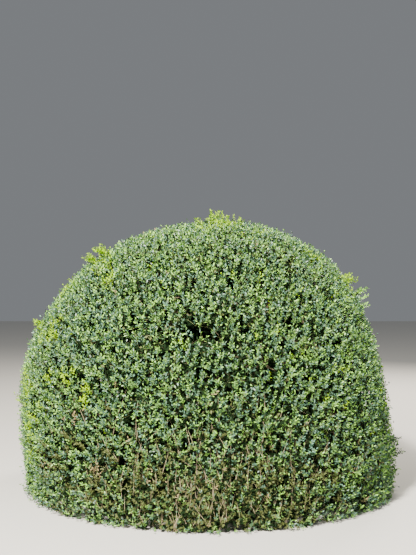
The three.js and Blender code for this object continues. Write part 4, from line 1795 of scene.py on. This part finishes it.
    def _twig_piece(self, name: str, fine: Twigs, stems: list[tuple[np.ndarray, np.ndarray, float, int]],
                    materials: list[bpy.types.Material]) -> bpy.types.Object:
        """Make the mass's twigs one mesh.

        Args:
            name: the piece's name.
            fine: the twigs that fork.
            stems: sets of unforked stems, each with starts, ends, a radius and a material slot.
            materials: the twig finishes.

        Returns:
            The piece.
        """
        starts, ends, low, high = fine.arrays()
        points, quads = tube_arrays(starts, ends, low, high, self.twig_sides)
        corners = np.concatenate([quads[:, [0, 1, 2]], quads[:, [0, 2, 3]]])
        green = (low < self.fine_rule.tip_radius * self.green_below).astype(int)
        parts = [(points, corners, np.tile(np.repeat(green, self.twig_sides), 2))]
        for starts, ends, radius, slot in stems:
            points, corners = spike_arrays(starts, ends, radius)
            parts.append((points, corners, np.full(len(corners), slot)))
        return array_mesh(name, *joined_arrays(parts), materials)

    def dress(self, pieces: list[bpy.types.Object]) -> None:
        """Set the pieces in place of the mass's solid."""
        slots = [Slot.BARK, Slot.BARK, Slot.FOLIAGE, Slot.FOLIAGE]
        for piece, slot in zip(pieces, slots):
            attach(piece, BODY)
            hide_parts(f"foliage_{self.limb.mass.name}")


# The studio


@dataclass(frozen=True)
class Lamp:
    """A soft square light: its place, its width in metres, its power in watts and its colour."""

    name: str
    place: Place
    width: float
    power: float
    colour: str

    def hang(self, aim: Place) -> None:
        """Hang the light so that it faces a place.

        Args:
            aim: the place that it faces.
        """
        lamp = bpy.data.lights.new(self.name, "AREA")
        lamp.size = self.width
        lamp.energy = self.power
        lamp.color = linear(self.colour)[:3]
        holder = bpy.data.objects.new(self.name, lamp)
        holder.location = self.place
        holder.rotation_euler = (Vector(aim) - Vector(self.place)).to_track_quat("-Z", "Y").to_euler()
        bpy.context.scene.collection.objects.link(holder)


@dataclass
class Studio:
    """A plain pale floor, soft light and the camera at the photograph's viewing angle."""

    eye: Place = (-0.012, -6.20, 1.45)
    pitch: float = 0.72
    lens: float = 53.84
    sight: float = 200
    floor_size: float = 60.0
    floor_colour: str = "#d9d6cf"
    floor_roughness: float = 0.9
    sky_colour: str = "#dfe4ea"
    sky_strength: float = 0.27
    middle: Place = (0, 0, 0.9)
    lamps: tuple[Lamp, ...] = (
        Lamp("key_light", (-2.2, -5.5, 6.9), 0.9, 2700.0, "#fffaf0"),
        Lamp("fill_light", (5.5, -5.0, 3.2), 5.0, 70.0, "#e6eefc"),
        Lamp("back_light", (3.5, 6.5, 5.5), 3.0, 900.0, "#fff6e8"))

    def build(self) -> None:
        """Set up the floor, the lights and the camera."""
        self._floor()
        for lamp in self.lamps:
            lamp.hang(self.middle)
        world = bpy.data.worlds.new("soft_sky")
        world.use_nodes = True
        background = world.node_tree.nodes["Background"]
        background.inputs["Color"].default_value = linear(self.sky_colour)
        background.inputs["Strength"].default_value = self.sky_strength
        bpy.context.scene.world = world
        camera = bpy.data.cameras.new("camera")
        camera.lens = self.lens
        camera.clip_end = self.sight
        holder = bpy.data.objects.new("camera", camera)
        holder.location = self.eye
        holder.rotation_euler = (math.radians(90 + self.pitch), 0, 0)
        bpy.context.scene.collection.objects.link(holder)
        bpy.context.scene.camera = holder

    def _floor(self) -> None:
        """Lay the floor."""
        deselect_all()
        bpy.ops.mesh.primitive_plane_add(size=self.floor_size, location=(0, 0, 0))
        floor = bpy.context.object
        floor.name = "studio_floor"
        paint = plain_material("studio_floor_paint", self.floor_colour,
                               {"Roughness": self.floor_roughness})
        floor.data.materials.append(paint)


def report(piece: bpy.types.Object) -> None:
    """Log a piece's name and how many faces it has."""
    LOG.info("%s: %d faces", piece.name, len(piece.data.polygons))


def main() -> None:
    """Build the bush, dress it and set up the studio."""
    Studio().build()
    bark = BarkFinish().material()
    leaf_materials = [LEAF_FINISHES[kind].material() for kind in LeafKind]
    twig_materials = [WOODY_TWIG.material(), YOUNG_TWIG.material(), BARE_TWIG.material()]
    outline = Outline()
    trunk = Trunk()
    piece = trunk.build()
    trunk.dress(piece, bark)
    report(piece)
    canopy = Canopy(outline)
    shoots = canopy.grow()
    LOG.info("%d leafy shoots", len(shoots.roots))
    for index, mass in enumerate(MASSES):
        girth = LEADER_GIRTH if mass.radius == 0 else FLANK_GIRTH
        limb = Limb(mass, index, *girth)
        bough = Bough(limb)
        piece = bough.build()
        bough.dress(piece, bark)
        report(piece)
        foliage = FoliageMass(limb, outline)
        pieces = foliage.build(shoots, canopy, leaf_materials, twig_materials, bark)
        foliage.dress(pieces)
        for piece in pieces:
            report(piece)


if __name__ == "__main__":
    logging.basicConfig(level=logging.INFO, format="%(message)s")
    main()
